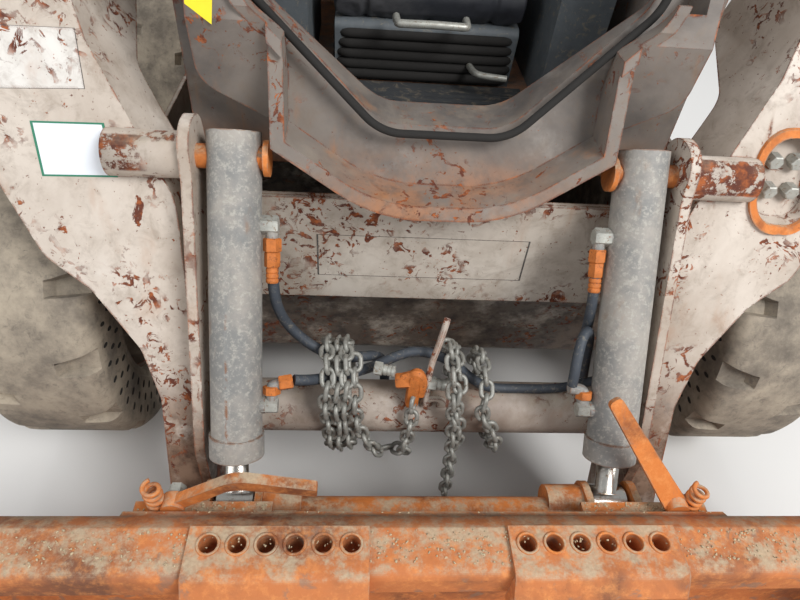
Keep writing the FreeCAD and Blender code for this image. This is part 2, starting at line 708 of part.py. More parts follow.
def cab_shell():
    """The cab frame: leaning front with a chamfered opening, posts, rear frame, and a roof."""
    top = cab_top_z - 40
    corner_back = 90
    nose_half = 160

    def plan(z, inset):
        front = cab_front_y(z) + inset
        half = cab_half - inset
        corner = cab_front_y(z) + corner_back + inset
        return [
            vec(-nose_half, front, z), vec(nose_half, front, z), vec(half, corner, z),
            vec(half, cab_rear_y - inset, z), vec(-half, cab_rear_y - inset, z), vec(-half, corner, z),
            vec(-nose_half, front, z),
        ]

    def body(inset, low, high):
        rings = [Part.makePolygon(plan(low, inset)), Part.makePolygon(plan(high, inset))]
        return Part.makeLoft(rings, True, True)

    shell = body(0, cab_floor_z, top).cut(body(cab_wall, cab_floor_z + 8, top + 50))
    sill = [
        (-150, cab_floor_z - 10), (150, cab_floor_z - 10), (296, 968, 40), (296, 1046),
        (500, 1066), (500, top + 10), (-500, top + 10), (-500, 1066), (-296, 1046), (-296, 968, 40),
    ]
    front_zone = cab_front_y(top) + corner_back + 60
    shape = shell.common(prism_y(sill, sill_y - 50, cab_full_y).fuse(
        box(-600, 600, cab_full_y, 700, cab_floor_z - 20, top + 60)))
    opening = [
        (-170, 1000, 40), (90, 1000, 40), (215, 1085, 60), (390, 1260, 60), (400, top - 70, 60),
        (-400, top - 70, 60), (-390, 1250, 60), (-250, 1085, 60),
    ]
    shape = shape.cut(prism_y(opening, sill_y - 50, front_zone + 10))
    window = [(-60, 1330, 40), (-60, top - 80, 40), (cab_rear_y - 110, top - 80, 40), (cab_rear_y - 110, 1330, 40)]
    shape = shape.cut(prism_x(window, -600, 600))
    rear = [(-360, 1420, 40), (360, 1420, 40), (360, top - 90, 40), (-360, top - 90, 40)]
    shape = shape.cut(prism_y(rear, cab_rear_y - 60, cab_rear_y + 10))
    lugs = []
    for name, side in SIDES:
        lug = prism_x([(cab_rear_y - 1, cab_hinge_z - 50), (cab_hinge_y + 26, cab_hinge_z - 26, 24),
                       (cab_hinge_y + 26, cab_hinge_z + 26, 24), (cab_rear_y - 1, cab_hinge_z + 60)], 328, 350)
        lug = lug.cut(bar_x(cab_hinge_y, cab_hinge_z, cab_hinge_radius + pin_gap, 320, 360))
        lugs.append(on_side(lug, side))
        socket = bar_x(seat_bar_pivot_y, seat_bar_pivot_z, 26, cab_half - cab_wall - 16, cab_half - cab_wall + 1)
        socket = socket.cut(bar_x(seat_bar_pivot_y, seat_bar_pivot_z, 14 + pin_gap, 400, cab_half - cab_wall))
        lugs.append(on_side(socket, side))
    save("cab_frame", joined(shape, *lugs))
    roof = prism_x([
        (cab_front_y(top) - 40, top), (cab_front_y(top) - 40, top + 20, 15), (cab_front_y(top) + 60, cab_top_z, 60),
        (cab_rear_y - 30, cab_top_z, 60), (cab_rear_y + 10, top + 10), (cab_rear_y + 10, top),
    ], -cab_half - 8, cab_half + 8)
    save("cab_roof", roof)
    screens = []
    for name, side in SIDES:
        x0 = cab_half - 14
        screen = prism_x([(u, v, 40) for u, v, r in window], x0, x0 + 6)
        slots = []
        for row in range(9):
            z0 = 1360 + row * 62
            if z0 + 34 < top - 100:
                slots.append(box(x0 - 1, x0 + 7, -20, cab_rear_y - 150, z0, z0 + 34))
        screens.append(on_side(screen.cut(Part.makeCompound(slots)), side))
    save("side_screens", *screens)
    glass = prism_y([(-360, 1420, 40), (360, 1420, 40), (360, top - 90, 40), (-360, top - 90, 40)],
                    cab_rear_y - 16, cab_rear_y - 10)
    save("rear_window", glass)


def cab_inside():
    """Seat, consoles, joysticks and the seat bar."""
    floor = cab_floor_z + 8
    save("seat_base", prism_x([(0, floor), (-20, 1040, 20), (430, 1040, 20), (470, floor)], -220, 220))
    save("seat_cushion", prism_x([(-40, 1040.3), (-60, 1110, 50), (-20, 1160, 40), (380, 1145, 20), (380, 1040.3)],
                                 -240, 240))
    save("seat_back", prism_x([(380.3, 1060), (380.3, 1150), (465, 1620, 28), (545, 1600, 24), (470, 1060)], -230, 230))
    consoles = []
    sticks = []
    for name, side in SIDES:
        console = prism_x([(-90, floor), (-110, 1180, 40), (-40, 1260, 40), (330, 1240, 30), (360, floor)], 275, 395)
        consoles.append(on_side(console, side))
        boot = Part.makeCone(34, 16, 50, vec(330, -30, 1248), vec(0, 0, 1))
        stick = Part.makeCylinder(11, 90, vec(330, -30, 1290), vec(0, -0.12, 1))
        grip = Part.makeCone(20, 24, 110, vec(330, -40, 1370), vec(0, -0.12, 1))
        sticks.append(on_side(joined(boot, stick, grip).cut(console), side))
    save("consoles", *consoles)
    save("joysticks", *sticks)
    pivot_y = seat_bar_pivot_y
    pivot_z = seat_bar_pivot_z
    tip = vec(0, seat_bar_tip_y, seat_bar_tip_z)
    tube = 15
    arms = []
    for name, side in SIDES:
        run = bar(vec(410, pivot_y, pivot_z), vec(410, tip.y, tip.z), tube)
        ball = Part.makeSphere(tube, vec(410, tip.y, tip.z))
        pin = bar_x(pivot_y, pivot_z, 14, 395, cab_half - cab_wall - 0.4)
        for piece in (run, ball, pin):
            arms.append(on_side(piece, side))
    cross = bar_x(tip.y, tip.z, tube, -410, 410)
    save("seat_bar", joined(cross, *arms))


def main():
    os.makedirs("parts", exist_ok=True)
    wheels()
    axle_tubes()
    main_frame()
    front_panel()
    engine()
    rear_body()
    lift_arms()
    cylinders()
    coupler()
    coupler_levers()
    bucket()
    cab_shell()
    cab_inside()


main()
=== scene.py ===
import bpy
import bmesh
import json
import math
from mathutils import Matrix, Vector


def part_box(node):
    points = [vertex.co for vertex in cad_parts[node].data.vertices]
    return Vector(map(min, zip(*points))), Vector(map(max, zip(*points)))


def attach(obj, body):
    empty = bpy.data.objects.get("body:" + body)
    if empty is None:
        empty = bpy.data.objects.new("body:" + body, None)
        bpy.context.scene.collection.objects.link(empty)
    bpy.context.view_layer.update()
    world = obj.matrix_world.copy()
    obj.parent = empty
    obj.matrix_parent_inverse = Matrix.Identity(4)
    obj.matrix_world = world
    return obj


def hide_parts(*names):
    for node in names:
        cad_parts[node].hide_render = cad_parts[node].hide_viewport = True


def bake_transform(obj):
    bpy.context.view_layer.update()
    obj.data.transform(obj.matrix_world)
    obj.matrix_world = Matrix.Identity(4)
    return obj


# A worn skid steer loader seen from above its bucket. Metres, front faces -Y, +Z up, +X is the driver's left.

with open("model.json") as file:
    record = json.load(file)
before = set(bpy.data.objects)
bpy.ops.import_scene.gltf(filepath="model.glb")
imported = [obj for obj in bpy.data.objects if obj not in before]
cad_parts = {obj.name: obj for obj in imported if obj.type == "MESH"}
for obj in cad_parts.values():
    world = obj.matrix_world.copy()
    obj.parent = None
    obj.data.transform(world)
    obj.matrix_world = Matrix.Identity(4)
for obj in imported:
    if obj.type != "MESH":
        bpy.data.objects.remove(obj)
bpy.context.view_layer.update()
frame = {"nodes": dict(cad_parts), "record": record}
nodes = frame["nodes"]

# Sizes of the machine that the pieces share. Tyres and what stands on them in metres, outlines in millimetres
SIDES = (("left", 1), ("right", -1))
TYRE_RADIUS = 0.415
TYRE_MIDDLE = 0.8425
TYRE_HALF = 0.1425
RIM_RADIUS = 0.254
AXLE_Y = {"front": -0.235, "rear": 0.913}
TREAD_STEPS = 28
TREAD_LINES = 11
TREAD_DEPTH = 0.024
NOTCH_REACH = 0.084
NOTCH_SWEEP = 0.020
NOTCH_HALF = 0.026
NOTCH_TAPER = 0.0104
POCKET_ROWS = (0.295, 0.327, 0.359)
POCKETS_IN_ROW = 44
NUT_CIRCLE = 0.135
NUTS_IN_RIM = 8
HUB_CIRCLE = 0.100
LEG_FOOT_Y, LEG_FOOT_Z = -925, 170
LEG_LEAN = math.tan(math.radians(28))
CAB_FOOT_Y, CAB_FLOOR = -585, 885
CAB_LEAN = math.tan(math.radians(20))
CAB_TOP = 2025
CAB_HALF = 475
# how near two points of a solid's mesh are one
CAD_REACH = 2e-5

# Camera, as the photograph was taken: standing near the middle, looking down over the bucket
CAMERA_PLACE = Vector((-0.158, -1.481, 1.55))
CAMERA_TURN = math.radians(6.13)
CAMERA_DOWN = math.radians(43.86)
CAMERA_ROLL = math.radians(5.84)
CAMERA_LENS = 27.0


def rgb(red, green, blue):
    """A colour written as it looks, 0 to 255, turned to the linear values that a shader takes."""
    linear = []
    for value in (red, green, blue):
        v = value / 255
        linear.append(v / 12.92 if v <= 0.04045 else ((v + 0.055) / 1.055) ** 2.4)
    return (*linear, 1.0)


class Paint:
    """One material's node tree, with short calls for the nodes that the finishes share."""

    def __init__(self, name):
        self.material = bpy.data.materials.new(name)
        self.material.use_nodes = True
        self.tree = self.material.node_tree
        self.shader = self.tree.nodes["Principled BSDF"]
        self.place = self.add("ShaderNodeTexCoord").outputs["Object"]

    def add(self, kind, **settings):
        node = self.tree.nodes.new(kind)
        for key, value in settings.items():
            setattr(node, key, value)
        return node

    def put(self, socket, value):
        """Link a value that is a socket, or set one that is a number or a colour."""
        if isinstance(value, bpy.types.NodeSocket):
            self.tree.links.new(value, socket)
        else:
            socket.default_value = value

    def stretched(self, x, y, z):
        node = self.add("ShaderNodeMapping")
        self.put(node.inputs["Vector"], self.place)
        node.inputs["Scale"].default_value = (x, y, z)
        return node.outputs["Vector"]

    def noise(self, scale, detail=6.0, rough=0.6, place=None, twist=0.0):
        node = self.add("ShaderNodeTexNoise")
        self.put(node.inputs["Vector"], place or self.place)
        node.inputs["Scale"].default_value = scale
        node.inputs["Detail"].default_value = detail
        node.inputs["Roughness"].default_value = rough
        node.inputs["Distortion"].default_value = twist
        return node.outputs["Fac"]

    def band(self, value, low, high):
        """0 below low, 1 above high, and smooth between."""
        node = self.add("ShaderNodeMapRange", interpolation_type="SMOOTHSTEP")
        self.put(node.inputs["Value"], value)
        node.inputs["From Min"].default_value = low
        node.inputs["From Max"].default_value = high
        return node.outputs["Result"]

    def math(self, kind, a, b=0.0):
        node = self.add("ShaderNodeMath", operation=kind, use_clamp=(kind != "SUBTRACT"))
        self.put(node.inputs[0], a)
        self.put(node.inputs[1], b)
        return node.outputs[0]

    def mix(self, share, a, b):
        node = self.add("ShaderNodeMix", data_type="RGBA")
        self.put(node.inputs["Factor"], share)
        self.put(node.inputs["A"], a)
        self.put(node.inputs["B"], b)
        return node.outputs["Result"]

    def mix_value(self, share, a, b):
        node = self.add("ShaderNodeMix", data_type="FLOAT")
        self.put(node.inputs["Factor"], share)
        self.put(node.inputs["A"], a)
        self.put(node.inputs["B"], b)
        return node.outputs["Result"]

    def edges(self, radius):
        """1 along edges within the radius, 0 on open surface."""
        bevel = self.add("ShaderNodeBevel", samples=4)
        bevel.inputs["Radius"].default_value = radius
        normal = self.add("ShaderNodeNewGeometry").outputs["True Normal"]
        dot = self.add("ShaderNodeVectorMath", operation="DOT_PRODUCT")
        self.put(dot.inputs[0], bevel.outputs["Normal"])
        self.put(dot.inputs[1], normal)
        return self.math("SUBTRACT", 1.0, dot.outputs["Value"])

    def upward(self, low=0.6, high=0.95):
        """1 on faces that look up, where dust and sand settle."""
        split = self.add("ShaderNodeSeparateXYZ")
        self.put(split.inputs[0], self.add("ShaderNodeNewGeometry").outputs["True Normal"])
        return self.band(split.outputs["Z"], low, high)

    def finish(self, colour, rough, height=None, depth=0.0008, strength=0.6, metal=0.0):
        self.put(self.shader.inputs["Base Color"], colour)
        self.put(self.shader.inputs["Roughness"], rough)
        self.put(self.shader.inputs["Metallic"], metal)
        if height is not None:
            bump = self.add("ShaderNodeBump")
            bump.inputs["Strength"].default_value = strength
            bump.inputs["Distance"].default_value = depth
            self.put(bump.inputs["Height"], height)
            self.put(self.shader.inputs["Normal"], bump.outputs["Normal"])
        return self.material


def worn_paint(name, coat, faded, chips=0.62, clusters=0.50, dust=0.5, gloss=0.55, runs=0.3, rust_and_shade_below=None,
               flakes=0.665, bloom=0.4, specks=0.68, low_rust_and_shade_tones=(rgb(112, 82, 66), rgb(74, 48, 38)),
               old=rgb(92, 48, 34), fresh=rgb(168, 92, 46), sand=rgb(176, 162, 140)):
    """Paint with dark rust showing in sharp chips, in clusters and along edges, stains that run down,
    and dust on what faces up. Under the height given with the two low tones, most of the coat takes them: rust on the
    cab, and grime with painted shade on the front panel and the frame.
    Less chips, clusters, flakes or specks means more of each, and bloom is how pale the coat gets in patches."""
    p = Paint(name)
    cloud = p.band(p.noise(3.2, 8, 0.62, twist=0.3), 0.34, 0.68)
    base = p.mix(cloud, coat, faded)
    grime = p.band(p.noise(21.0, 9, 0.72, twist=0.5), 0.46, 0.74)
    base = p.mix(p.math("MULTIPLY", grime, 0.46), base, rgb(122, 104, 86))
    stain = p.band(p.noise(6.0, 6, 0.7, twist=1.6), 0.56, 0.72)
    base = p.mix(p.math("MULTIPLY", stain, 0.38), base, rgb(104, 88, 74))
    pale = p.band(p.noise(9.0, 7, 0.66), 0.55, 0.78)
    base = p.mix(p.math("MULTIPLY", pale, bloom), base, rgb(226, 220, 212))
    cluster = p.band(p.noise(4.6, 5, 0.62, twist=0.7), clusters, clusters + 0.12)
    flake = p.band(p.noise(38.0, 9, 0.66, twist=1.1), chips - 0.045, chips - 0.03)
    big_flake = p.band(p.noise(15.0, 8, 0.62, twist=0.9), flakes, flakes + 0.01)
    speck = p.band(p.noise(120.0, 4, 0.6), specks, specks + 0.015)
    chipped = p.math("MAXIMUM", p.math("MULTIPLY", cluster, flake), p.math("MULTIPLY", speck, 0.85))
    chipped = p.math("MAXIMUM", chipped, big_flake)
    worn = p.math("MULTIPLY", p.edges(0.007), p.band(p.noise(26.0, 8, 0.72), 0.40, 0.58))
    bare = p.math("MAXIMUM", chipped, p.band(worn, 0.04, 0.10))
    drips = p.band(p.noise(15.0, 5, 0.6, place=p.stretched(1.0, 1.0, 0.12)), 0.57, 0.78)
    base = p.mix(p.math("MULTIPLY", drips, runs), base, rgb(164, 112, 70))
    # Darker under a height: rust on some finishes, grime with painted shade on others
    if rust_and_shade_below is not None:
        split = p.add("ShaderNodeSeparateXYZ")
        p.put(split.inputs[0], p.place)
        low = p.band(split.outputs["Z"], rust_and_shade_below, rust_and_shade_below - 0.16)
        brown = p.mix(p.band(p.noise(30.0, 8, 0.7), 0.4, 0.66), low_rust_and_shade_tones[0], low_rust_and_shade_tones[1])
        base = p.mix(p.math("MULTIPLY", low, p.band(p.noise(8.0, 8, 0.7), 0.28, 0.52)), base, brown)
    rust = p.mix(p.band(p.noise(55.0, 8, 0.7), 0.42, 0.70), old, fresh)
    colour = p.mix(bare, base, rust)
    settled = p.math("MULTIPLY", p.upward(), p.band(p.noise(14.0, 9, 0.7), 0.60 - dust * 0.3, 0.76))
    colour = p.mix(p.math("MULTIPLY", settled, dust), colour, sand)
    rough = p.mix_value(p.math("MAXIMUM", bare, settled), gloss, 0.92)
    height = p.math("SUBTRACT", p.math("MULTIPLY", p.noise(90.0, 8, 0.7), 0.35), p.math("MULTIPLY", bare, 0.6))
    return p.finish(colour, rough, height)


def rusty_steel(name, bright=rgb(204, 118, 52), deep=rgb(112, 62, 36), sand_share=0.85, grey=0.3):
    """Orange rusted steel with darker scale, greyed bare patches, and sand lying on what faces up."""
    p = Paint(name)
    colour = p.mix(p.band(p.noise(5.0, 9, 0.66, twist=0.4), 0.42, 0.70), bright, deep)
    colour = p.mix(p.math("MULTIPLY", p.band(p.noise(42.0, 9, 0.75), 0.45, 0.7), 0.55), colour, rgb(226, 150, 84))
    colour = p.mix(p.math("MULTIPLY", p.band(p.noise(16.0, 6, 0.6, twist=1.0), 0.58, 0.66), grey), colour,
                   rgb(120, 106, 94))
    pits = p.band(p.noise(70.0, 6, 0.7), 0.66, 0.72)
    colour = p.mix(p.math("MULTIPLY", pits, 0.7), colour, rgb(70, 42, 30))
    worn = p.math("MULTIPLY", p.edges(0.006), p.band(p.noise(30.0, 8, 0.7), 0.42, 0.6))
    colour = p.mix(p.band(worn, 0.04, 0.12), colour, rgb(150, 118, 94))
    settled = p.math("MULTIPLY", p.upward(0.5, 0.95), p.band(p.noise(22.0, 10, 0.75), 0.42, 0.60))
    settled = p.math("MULTIPLY", settled, sand_share)
    colour = p.mix(settled, colour, p.mix(p.noise(160.0, 4, 0.7), rgb(134, 116, 92), rgb(206, 190, 162)))
    return p.finish(colour, p.mix_value(settled, 0.78, 0.95), p.noise(120.0, 10, 0.8), depth=0.0015)


def dusty_rubber(name, dark, dusty, share=0.5):
    """Old rubber under dry dust, darker in the cuts and scuffs."""
    p = Paint(name)
    dry = p.band(p.noise(7.0, 9, 0.7), 0.62 - share * 0.6, 0.66)
    colour = p.mix(dry, dark, dusty)
    scuff = p.band(p.noise(50.0, 9, 0.75, twist=0.6), 0.52, 0.68)
    colour = p.mix(p.math("MULTIPLY", scuff, 0.45), colour, rgb(78, 72, 66))
    cut = p.band(p.noise(24.0, 7, 0.8, twist=1.4), 0.66, 0.69)
    colour = p.mix(p.math("MULTIPLY", cut, 0.6), colour, rgb(58, 54, 50))
    return p.finish(colour, 0.93, p.noise(140.0, 8, 0.75), depth=0.0012)


def cylinder_paint(name):
    """Grey cylinder paint, speckled pale and stained."""
    p = Paint(name)
    colour = p.mix(p.band(p.noise(6.0, 9, 0.7), 0.38, 0.62), rgb(156, 150, 142), rgb(122, 122, 120))
    colour = p.mix(p.math("MULTIPLY", p.band(p.noise(95.0, 8, 0.8), 0.50, 0.60), 0.6), colour, rgb(176, 172, 162))
    stain = p.band(p.noise(20.0, 6, 0.6, place=p.stretched(1.0, 0.5, 0.3)), 0.60, 0.72)
    colour = p.mix(p.math("MULTIPLY", stain, 0.55), colour, rgb(140, 104, 74))
    wear = p.math("MULTIPLY", p.edges(0.006), p.band(p.noise(40.0, 6, 0.7), 0.4, 0.6))
    colour = p.mix(p.band(wear, 0.03, 0.1), colour, rgb(124, 82, 54))
    return p.finish(colour, 0.6, p.noise(180.0, 6, 0.7), depth=0.0005)


def plain(name, colour, rough=0.5, metal=0.0, spots=0.25, scale=30.0, depth=0.0004, stain=None):
    """A finish with a slightly uneven colour and a fine grain, and a stain of its own where one is named."""
    p = Paint(name)
    darker = tuple(c * 0.6 for c in colour[:3]) + (1.0,)
    tone = p.mix(p.math("MULTIPLY", p.band(p.noise(scale, 8, 0.7), 0.35, 0.7), spots * 2), colour, darker)
    if stain is not None:
        tone = p.mix(p.band(p.noise(scale * 1.7, 8, 0.75, twist=0.8), 0.54, 0.64), tone, stain)
    return p.finish(tone, rough, p.noise(scale * 8, 5, 0.6), depth=depth, metal=metal)


def see_through(name, tint, alpha):
    p = Paint(name)
    grime = p.band(p.noise(9.0, 8, 0.7), 0.45, 0.75)
    p.put(p.shader.inputs["Base Color"], p.mix(p.math("MULTIPLY", grime, 0.4), tint, rgb(150, 142, 126)))
    p.shader.inputs["Roughness"].default_value = 0.08
    p.shader.inputs["Alpha"].default_value = alpha
    return p.material


CREAM = worn_paint("cream_paint", rgb(212, 204, 192), rgb(184, 172, 158), chips=0.60, clusters=0.50)
CREAM_LEG = worn_paint("cream_leg_paint", rgb(204, 193, 181), rgb(170, 156, 142), chips=0.59, clusters=0.46,
                       specks=0.67, rust_and_shade_below=0.62, low_rust_and_shade_tones=(rgb(132, 108, 90), rgb(84, 64, 52)))
# The frame's lower nose goes dark: grime, with painted shade under the panel
CREAM_FRAME = worn_paint("cream_frame_paint", rgb(204, 194, 180), rgb(166, 152, 136), chips=0.60,
                         clusters=0.50, rust_and_shade_below=0.66, low_rust_and_shade_tones=(rgb(104, 90, 78), rgb(64, 54, 48)))
# Under its fold the panel goes dark brown: grime, with painted shade
CREAM_PANEL = worn_paint("cream_panel_paint", rgb(204, 195, 183), rgb(158, 145, 131), chips=0.585,
                         clusters=0.44, runs=0.5, rust_and_shade_below=0.645,
                         low_rust_and_shade_tones=(rgb(112, 96, 82), rgb(76, 60, 50)))
TUBE_PAINT = worn_paint("cross_tube_paint", rgb(186, 174, 162), rgb(134, 118, 106), chips=0.59, clusters=0.44)
CAB_PAINT = worn_paint("cab_paint", rgb(126, 117, 109), rgb(80, 75, 72), chips=0.605, clusters=0.50, gloss=0.6,
                       bloom=0.16, fresh=rgb(176, 98, 46), runs=0.6, sand=rgb(152, 140, 124), flakes=0.675,
                       rust_and_shade_below=1.0, low_rust_and_shade_tones=(rgb(170, 112, 70), rgb(118, 80, 56)))
CAB_DARK = worn_paint("cab_roof_paint", rgb(88, 84, 82), rgb(66, 64, 62), chips=0.64, clusters=0.56, gloss=0.6,
                      runs=0.15, sand=rgb(140, 130, 116))
RUST = rusty_steel("rusty_steel")
BEAM_RUST = rusty_steel("rusty_bucket", rgb(188, 112, 62), rgb(116, 74, 52), grey=0.6)
RUBBER = dusty_rubber("dusty_tyre", rgb(110, 102, 92), rgb(172, 160, 142))
# Dark rubber for the seal and the bellows, and painted shade for the tyres' sidewall holes
DARK_RUBBER_AND_HOLE_SHADE = plain("dark_rubber_and_hole_shade", rgb(34, 32, 30), rough=0.9, spots=0.2)
CYLINDER = cylinder_paint("cylinder_paint")
CHROME = plain("rod_chrome", rgb(196, 192, 184), rough=0.24, metal=1.0, spots=0.15, stain=rgb(150, 128, 104))
IRON = plain("engine_iron", rgb(70, 70, 72), rough=0.7)
RIM = worn_paint("rim_paint", rgb(112, 96, 82), rgb(84, 72, 62), chips=0.58, clusters=0.45)
PLASTIC = plain("grey_plastic", rgb(92, 98, 102), rough=0.6, stain=rgb(122, 116, 104))
FLOOR_PLATE = plain("cab_floor", rgb(60, 62, 64), rough=0.75, scale=14.0, stain=rgb(104, 96, 84))
GLASS = see_through("window_glass", (0.75, 0.82, 0.82, 1.0), 0.35)
LENS = plain("lamp_lens", rgb(206, 208, 204), rough=0.25, spots=0.1)
WARNING = plain("rear_lens", rgb(150, 28, 20), rough=0.3, spots=0.15)
HOSE = plain("tyre", rgb(58, 64, 72), rough=0.62, spots=0.2, scale=50.0, stain=rgb(104, 100, 92))
FITTING = plain("rusty_fitting", rgb(196, 112, 48), rough=0.7, spots=0.35, scale=60.0, stain=rgb(118, 66, 36))
ZINC = plain("zinc_fitting", rgb(178, 178, 170), rough=0.42, metal=0.35, spots=0.3, scale=70.0,
             stain=rgb(126, 104, 82))
CHAIN = plain("rod_chrome", rgb(152, 151, 144), rough=0.48, metal=0.3, spots=0.40, scale=60.0,
              stain=rgb(98, 88, 76))
GRIT = plain("sand_and_grit", rgb(196, 178, 146), rough=0.95, spots=0.4, scale=90.0, stain=rgb(120, 100, 78))
PAPER = plain("blank_paper", rgb(226, 230, 236), rough=0.5, spots=0.04)
PAPER_EDGE = plain("green_edge", rgb(44, 120, 92), rough=0.5, spots=0.05)
YELLOW = plain("blank_yellow_tag", rgb(236, 214, 40), rough=0.5, spots=0.05)
FADED = worn_paint("faded_label", rgb(224, 220, 214), rgb(196, 190, 182), chips=0.585, clusters=0.46,
                   runs=0.35)
INK = plain("faded_border", rgb(84, 80, 76), rough=0.7, spots=0.3, scale=200.0, stain=rgb(178, 168, 156))


def vinyl(name):
    """Black seat vinyl, greyed by dust in its folds, with a fine leather grain."""
    p = Paint(name)
    colour = p.mix(p.band(p.noise(7.0, 7, 0.65), 0.4, 0.7), rgb(46, 48, 54), rgb(78, 78, 80))
    colour = p.mix(p.math("MULTIPLY", p.upward(0.5, 0.95), 0.35), colour, rgb(112, 106, 98))
    grain = p.add("ShaderNodeTexVoronoi", feature="DISTANCE_TO_EDGE")
    p.put(grain.inputs["Vector"], p.place)
    grain.inputs["Scale"].default_value = 420.0
    folds = p.math("MULTIPLY", p.noise(60.0, 6, 0.7), 0.5)
    height = p.math("ADD", p.band(grain.outputs["Distance"], 0.0, 0.12), folds)
    return p.finish(colour, 0.5, height, depth=0.0005, strength=0.5)


VINYL = vinyl("seat_vinyl")


def body_of(node):
    """The body that a CAD node rides on."""
    for body, members in frame["record"]["behaviour"]["bodies"].items():
        if node in members:
            return body
    return None


def placed(name, data):
    """A new object of the scene that shows the data."""
    item = bpy.data.objects.new(name, data)
    bpy.context.scene.collection.objects.link(item)
    return item


def worked_out(item):
    """The plain mesh of an object with its curve or its modifiers worked out."""
    graph = bpy.context.evaluated_depsgraph_get()
    return bpy.data.meshes.new_from_object(item.evaluated_get(graph), depsgraph=graph)


def merged(mesh, reach, angle):
    """The mesh with its doubles within reach merged and its faces within the angle made one."""
    work = bmesh.new()
    work.from_mesh(mesh)
    bmesh.ops.remove_doubles(work, verts=work.verts, dist=reach)
    bmesh.ops.dissolve_limit(work, angle_limit=math.radians(angle), verts=work.verts, edges=work.edges)
    work.to_mesh(mesh)
    work.free()
    return mesh


def faced_out(mesh):
    """The mesh with its faces turned outwards."""
    work = bmesh.new()
    work.from_mesh(mesh)
    bmesh.ops.recalc_face_normals(work, faces=work.faces)
    work.to_mesh(mesh)
    work.free()
    return mesh


def add_piece(name, mesh, material, body, replaced=(), sharp=35.0, smooth=True):
    """A finished mesh as a piece of the machine, riding on its body if one is named."""
    mesh.name = name
    mesh.materials.clear()
    mesh.materials.append(material)
    mesh.polygons.foreach_set("use_smooth", [smooth] * len(mesh.polygons))
    if smooth:
        mesh.set_sharp_from_angle(angle=math.radians(sharp))
    piece = placed(name, mesh)
    if body is not None:
        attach(piece, body)
    if replaced:
        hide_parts(*replaced)
    return piece


def merged_copy(node):
    """A copy of a CAD node with its doubles merged and its flat faces joined."""
    return merged(nodes[node].data.copy(), CAD_REACH, 1.0)


def dress(node, material):
    """A merged, smoothly shaded copy of a CAD node in its place."""
    add_piece(node + "_skin", merged_copy(node), material, body_of(node), (node,), 32.0)


def rounded(corners, steps=7):
    """The points of an outline in millimetres, where a corner given as (u, v, radius) is rounded."""
    points = []
    count = len(corners)
    for i in range(count):
        here = Vector(corners[i][:2])
        if len(corners[i]) < 3:
            points.append(here)
            continue
        radius = corners[i][2]
        before = (Vector(corners[i - 1][:2]) - here).normalized()
        after = (Vector(corners[(i + 1) % count][:2]) - here).normalized()
        half = before.angle(after) / 2
        centre = here + (before + after).normalized() * (radius / math.sin(half))
        start = here + before * (radius / math.tan(half)) - centre
        stop = here + after * (radius / math.tan(half)) - centre
        turn = math.atan2(start.y, start.x)
        sweep = (math.atan2(stop.y, stop.x) - turn + math.pi) % (2 * math.pi) - math.pi
        for k in range(steps + 1):
            a = turn + sweep * k / steps
            points.append(centre + Vector((math.cos(a), math.sin(a))) * radius)
    return points


def prism(axis, corners, low, high):
    """A closed prism in metres along an axis, from an outline and two places in millimetres."""
    work = bmesh.new()
    rings = []
    for w in (low, high):
        ring = []
        for u, v in rounded(corners):
            place = {"x": (w, u, v), "y": (u, w, v), "z": (u, v, w)}[axis]
            ring.append(work.verts.new(Vector(place) * 0.001))
        rings.append(ring)
    count = len(rings[0])
    work.faces.new(rings[0])
    work.faces.new(rings[1][::-1])
    for i in range(count):
        j = (i + 1) % count
        work.faces.new((rings[0][i], rings[1][i], rings[1][j], rings[0][j]))
    bmesh.ops.recalc_face_normals(work, faces=work.faces)
    mesh = bpy.data.meshes.new("prism")
    work.to_mesh(mesh)
    work.free()
    return mesh


def disc(u, v, radius, sides=40):
    return [(u + radius * math.cos(2 * math.pi * k / sides), v + radius * math.sin(2 * math.pi * k / sides))
            for k in range(sides)]


def mirrored(mesh):
    """The same shape on the other side of the machine."""
    other = mesh.copy()
    other.transform(Matrix.Scale(-1, 4, Vector((1, 0, 0))))
    other.flip_normals()
    return other


def combined(kind, first, *others):
    """The union, difference or intersection of closed meshes, one after the other."""
    result = first
    for other in others:
        base = placed("base", result)
        tool = placed("tool", other)
        cut = base.modifiers.new("cut", "BOOLEAN")
        cut.operation = kind
        cut.solver = "EXACT"
        cut.object = tool
        result = worked_out(base)
        bpy.data.objects.remove(base)
        bpy.data.objects.remove(tool)
    return result


def cleaned(mesh):
    """A joined mesh with its doubles merged and its flat faces made whole."""
    return merged(mesh, 2 * CAD_REACH, 0.6)


def cab_front(z):
    """Where the cab's leaning front lies at a height, in millimetres."""
    return CAB_FOOT_Y + (z - CAB_FLOOR) * CAB_LEAN


def leg_front(z):
    """Where the leaning front of an arm's leg lies at a height, in millimetres."""
    return LEG_FOOT_Y + (z - LEG_FOOT_Z) * LEG_LEAN


def both_halves(half):
    """A closed outline from its right half, given from the bottom up."""
    return list(half) + [(-corner[0],) + tuple(corner[1:]) for corner in half[::-1]]


def behind_front(offset, rear_y):
    """Everything from a plane along the cab's front, offset behind it, back to rear_y."""
    low = 865
    high = 2085
    return prism("x", [(cab_front(low) + offset, low), (rear_y, low), (rear_y, high), (cab_front(high) + offset, high)],
                 -600, 600)


def cylinder_ways(wall):
    """What the cab's lower corners give up so that the tilt cylinders' top ends pass as the arms rise."""
    clear = 49 + 23 + wall
    way = prism("x", [(-900, 875), (-513 + clear, 875), (-513 + clear, 962), (-556 + clear, 1250), (-900, 1250)],
                380 - 49 - 21 - wall, 475)
    return one_mesh([way, mirrored(way)])


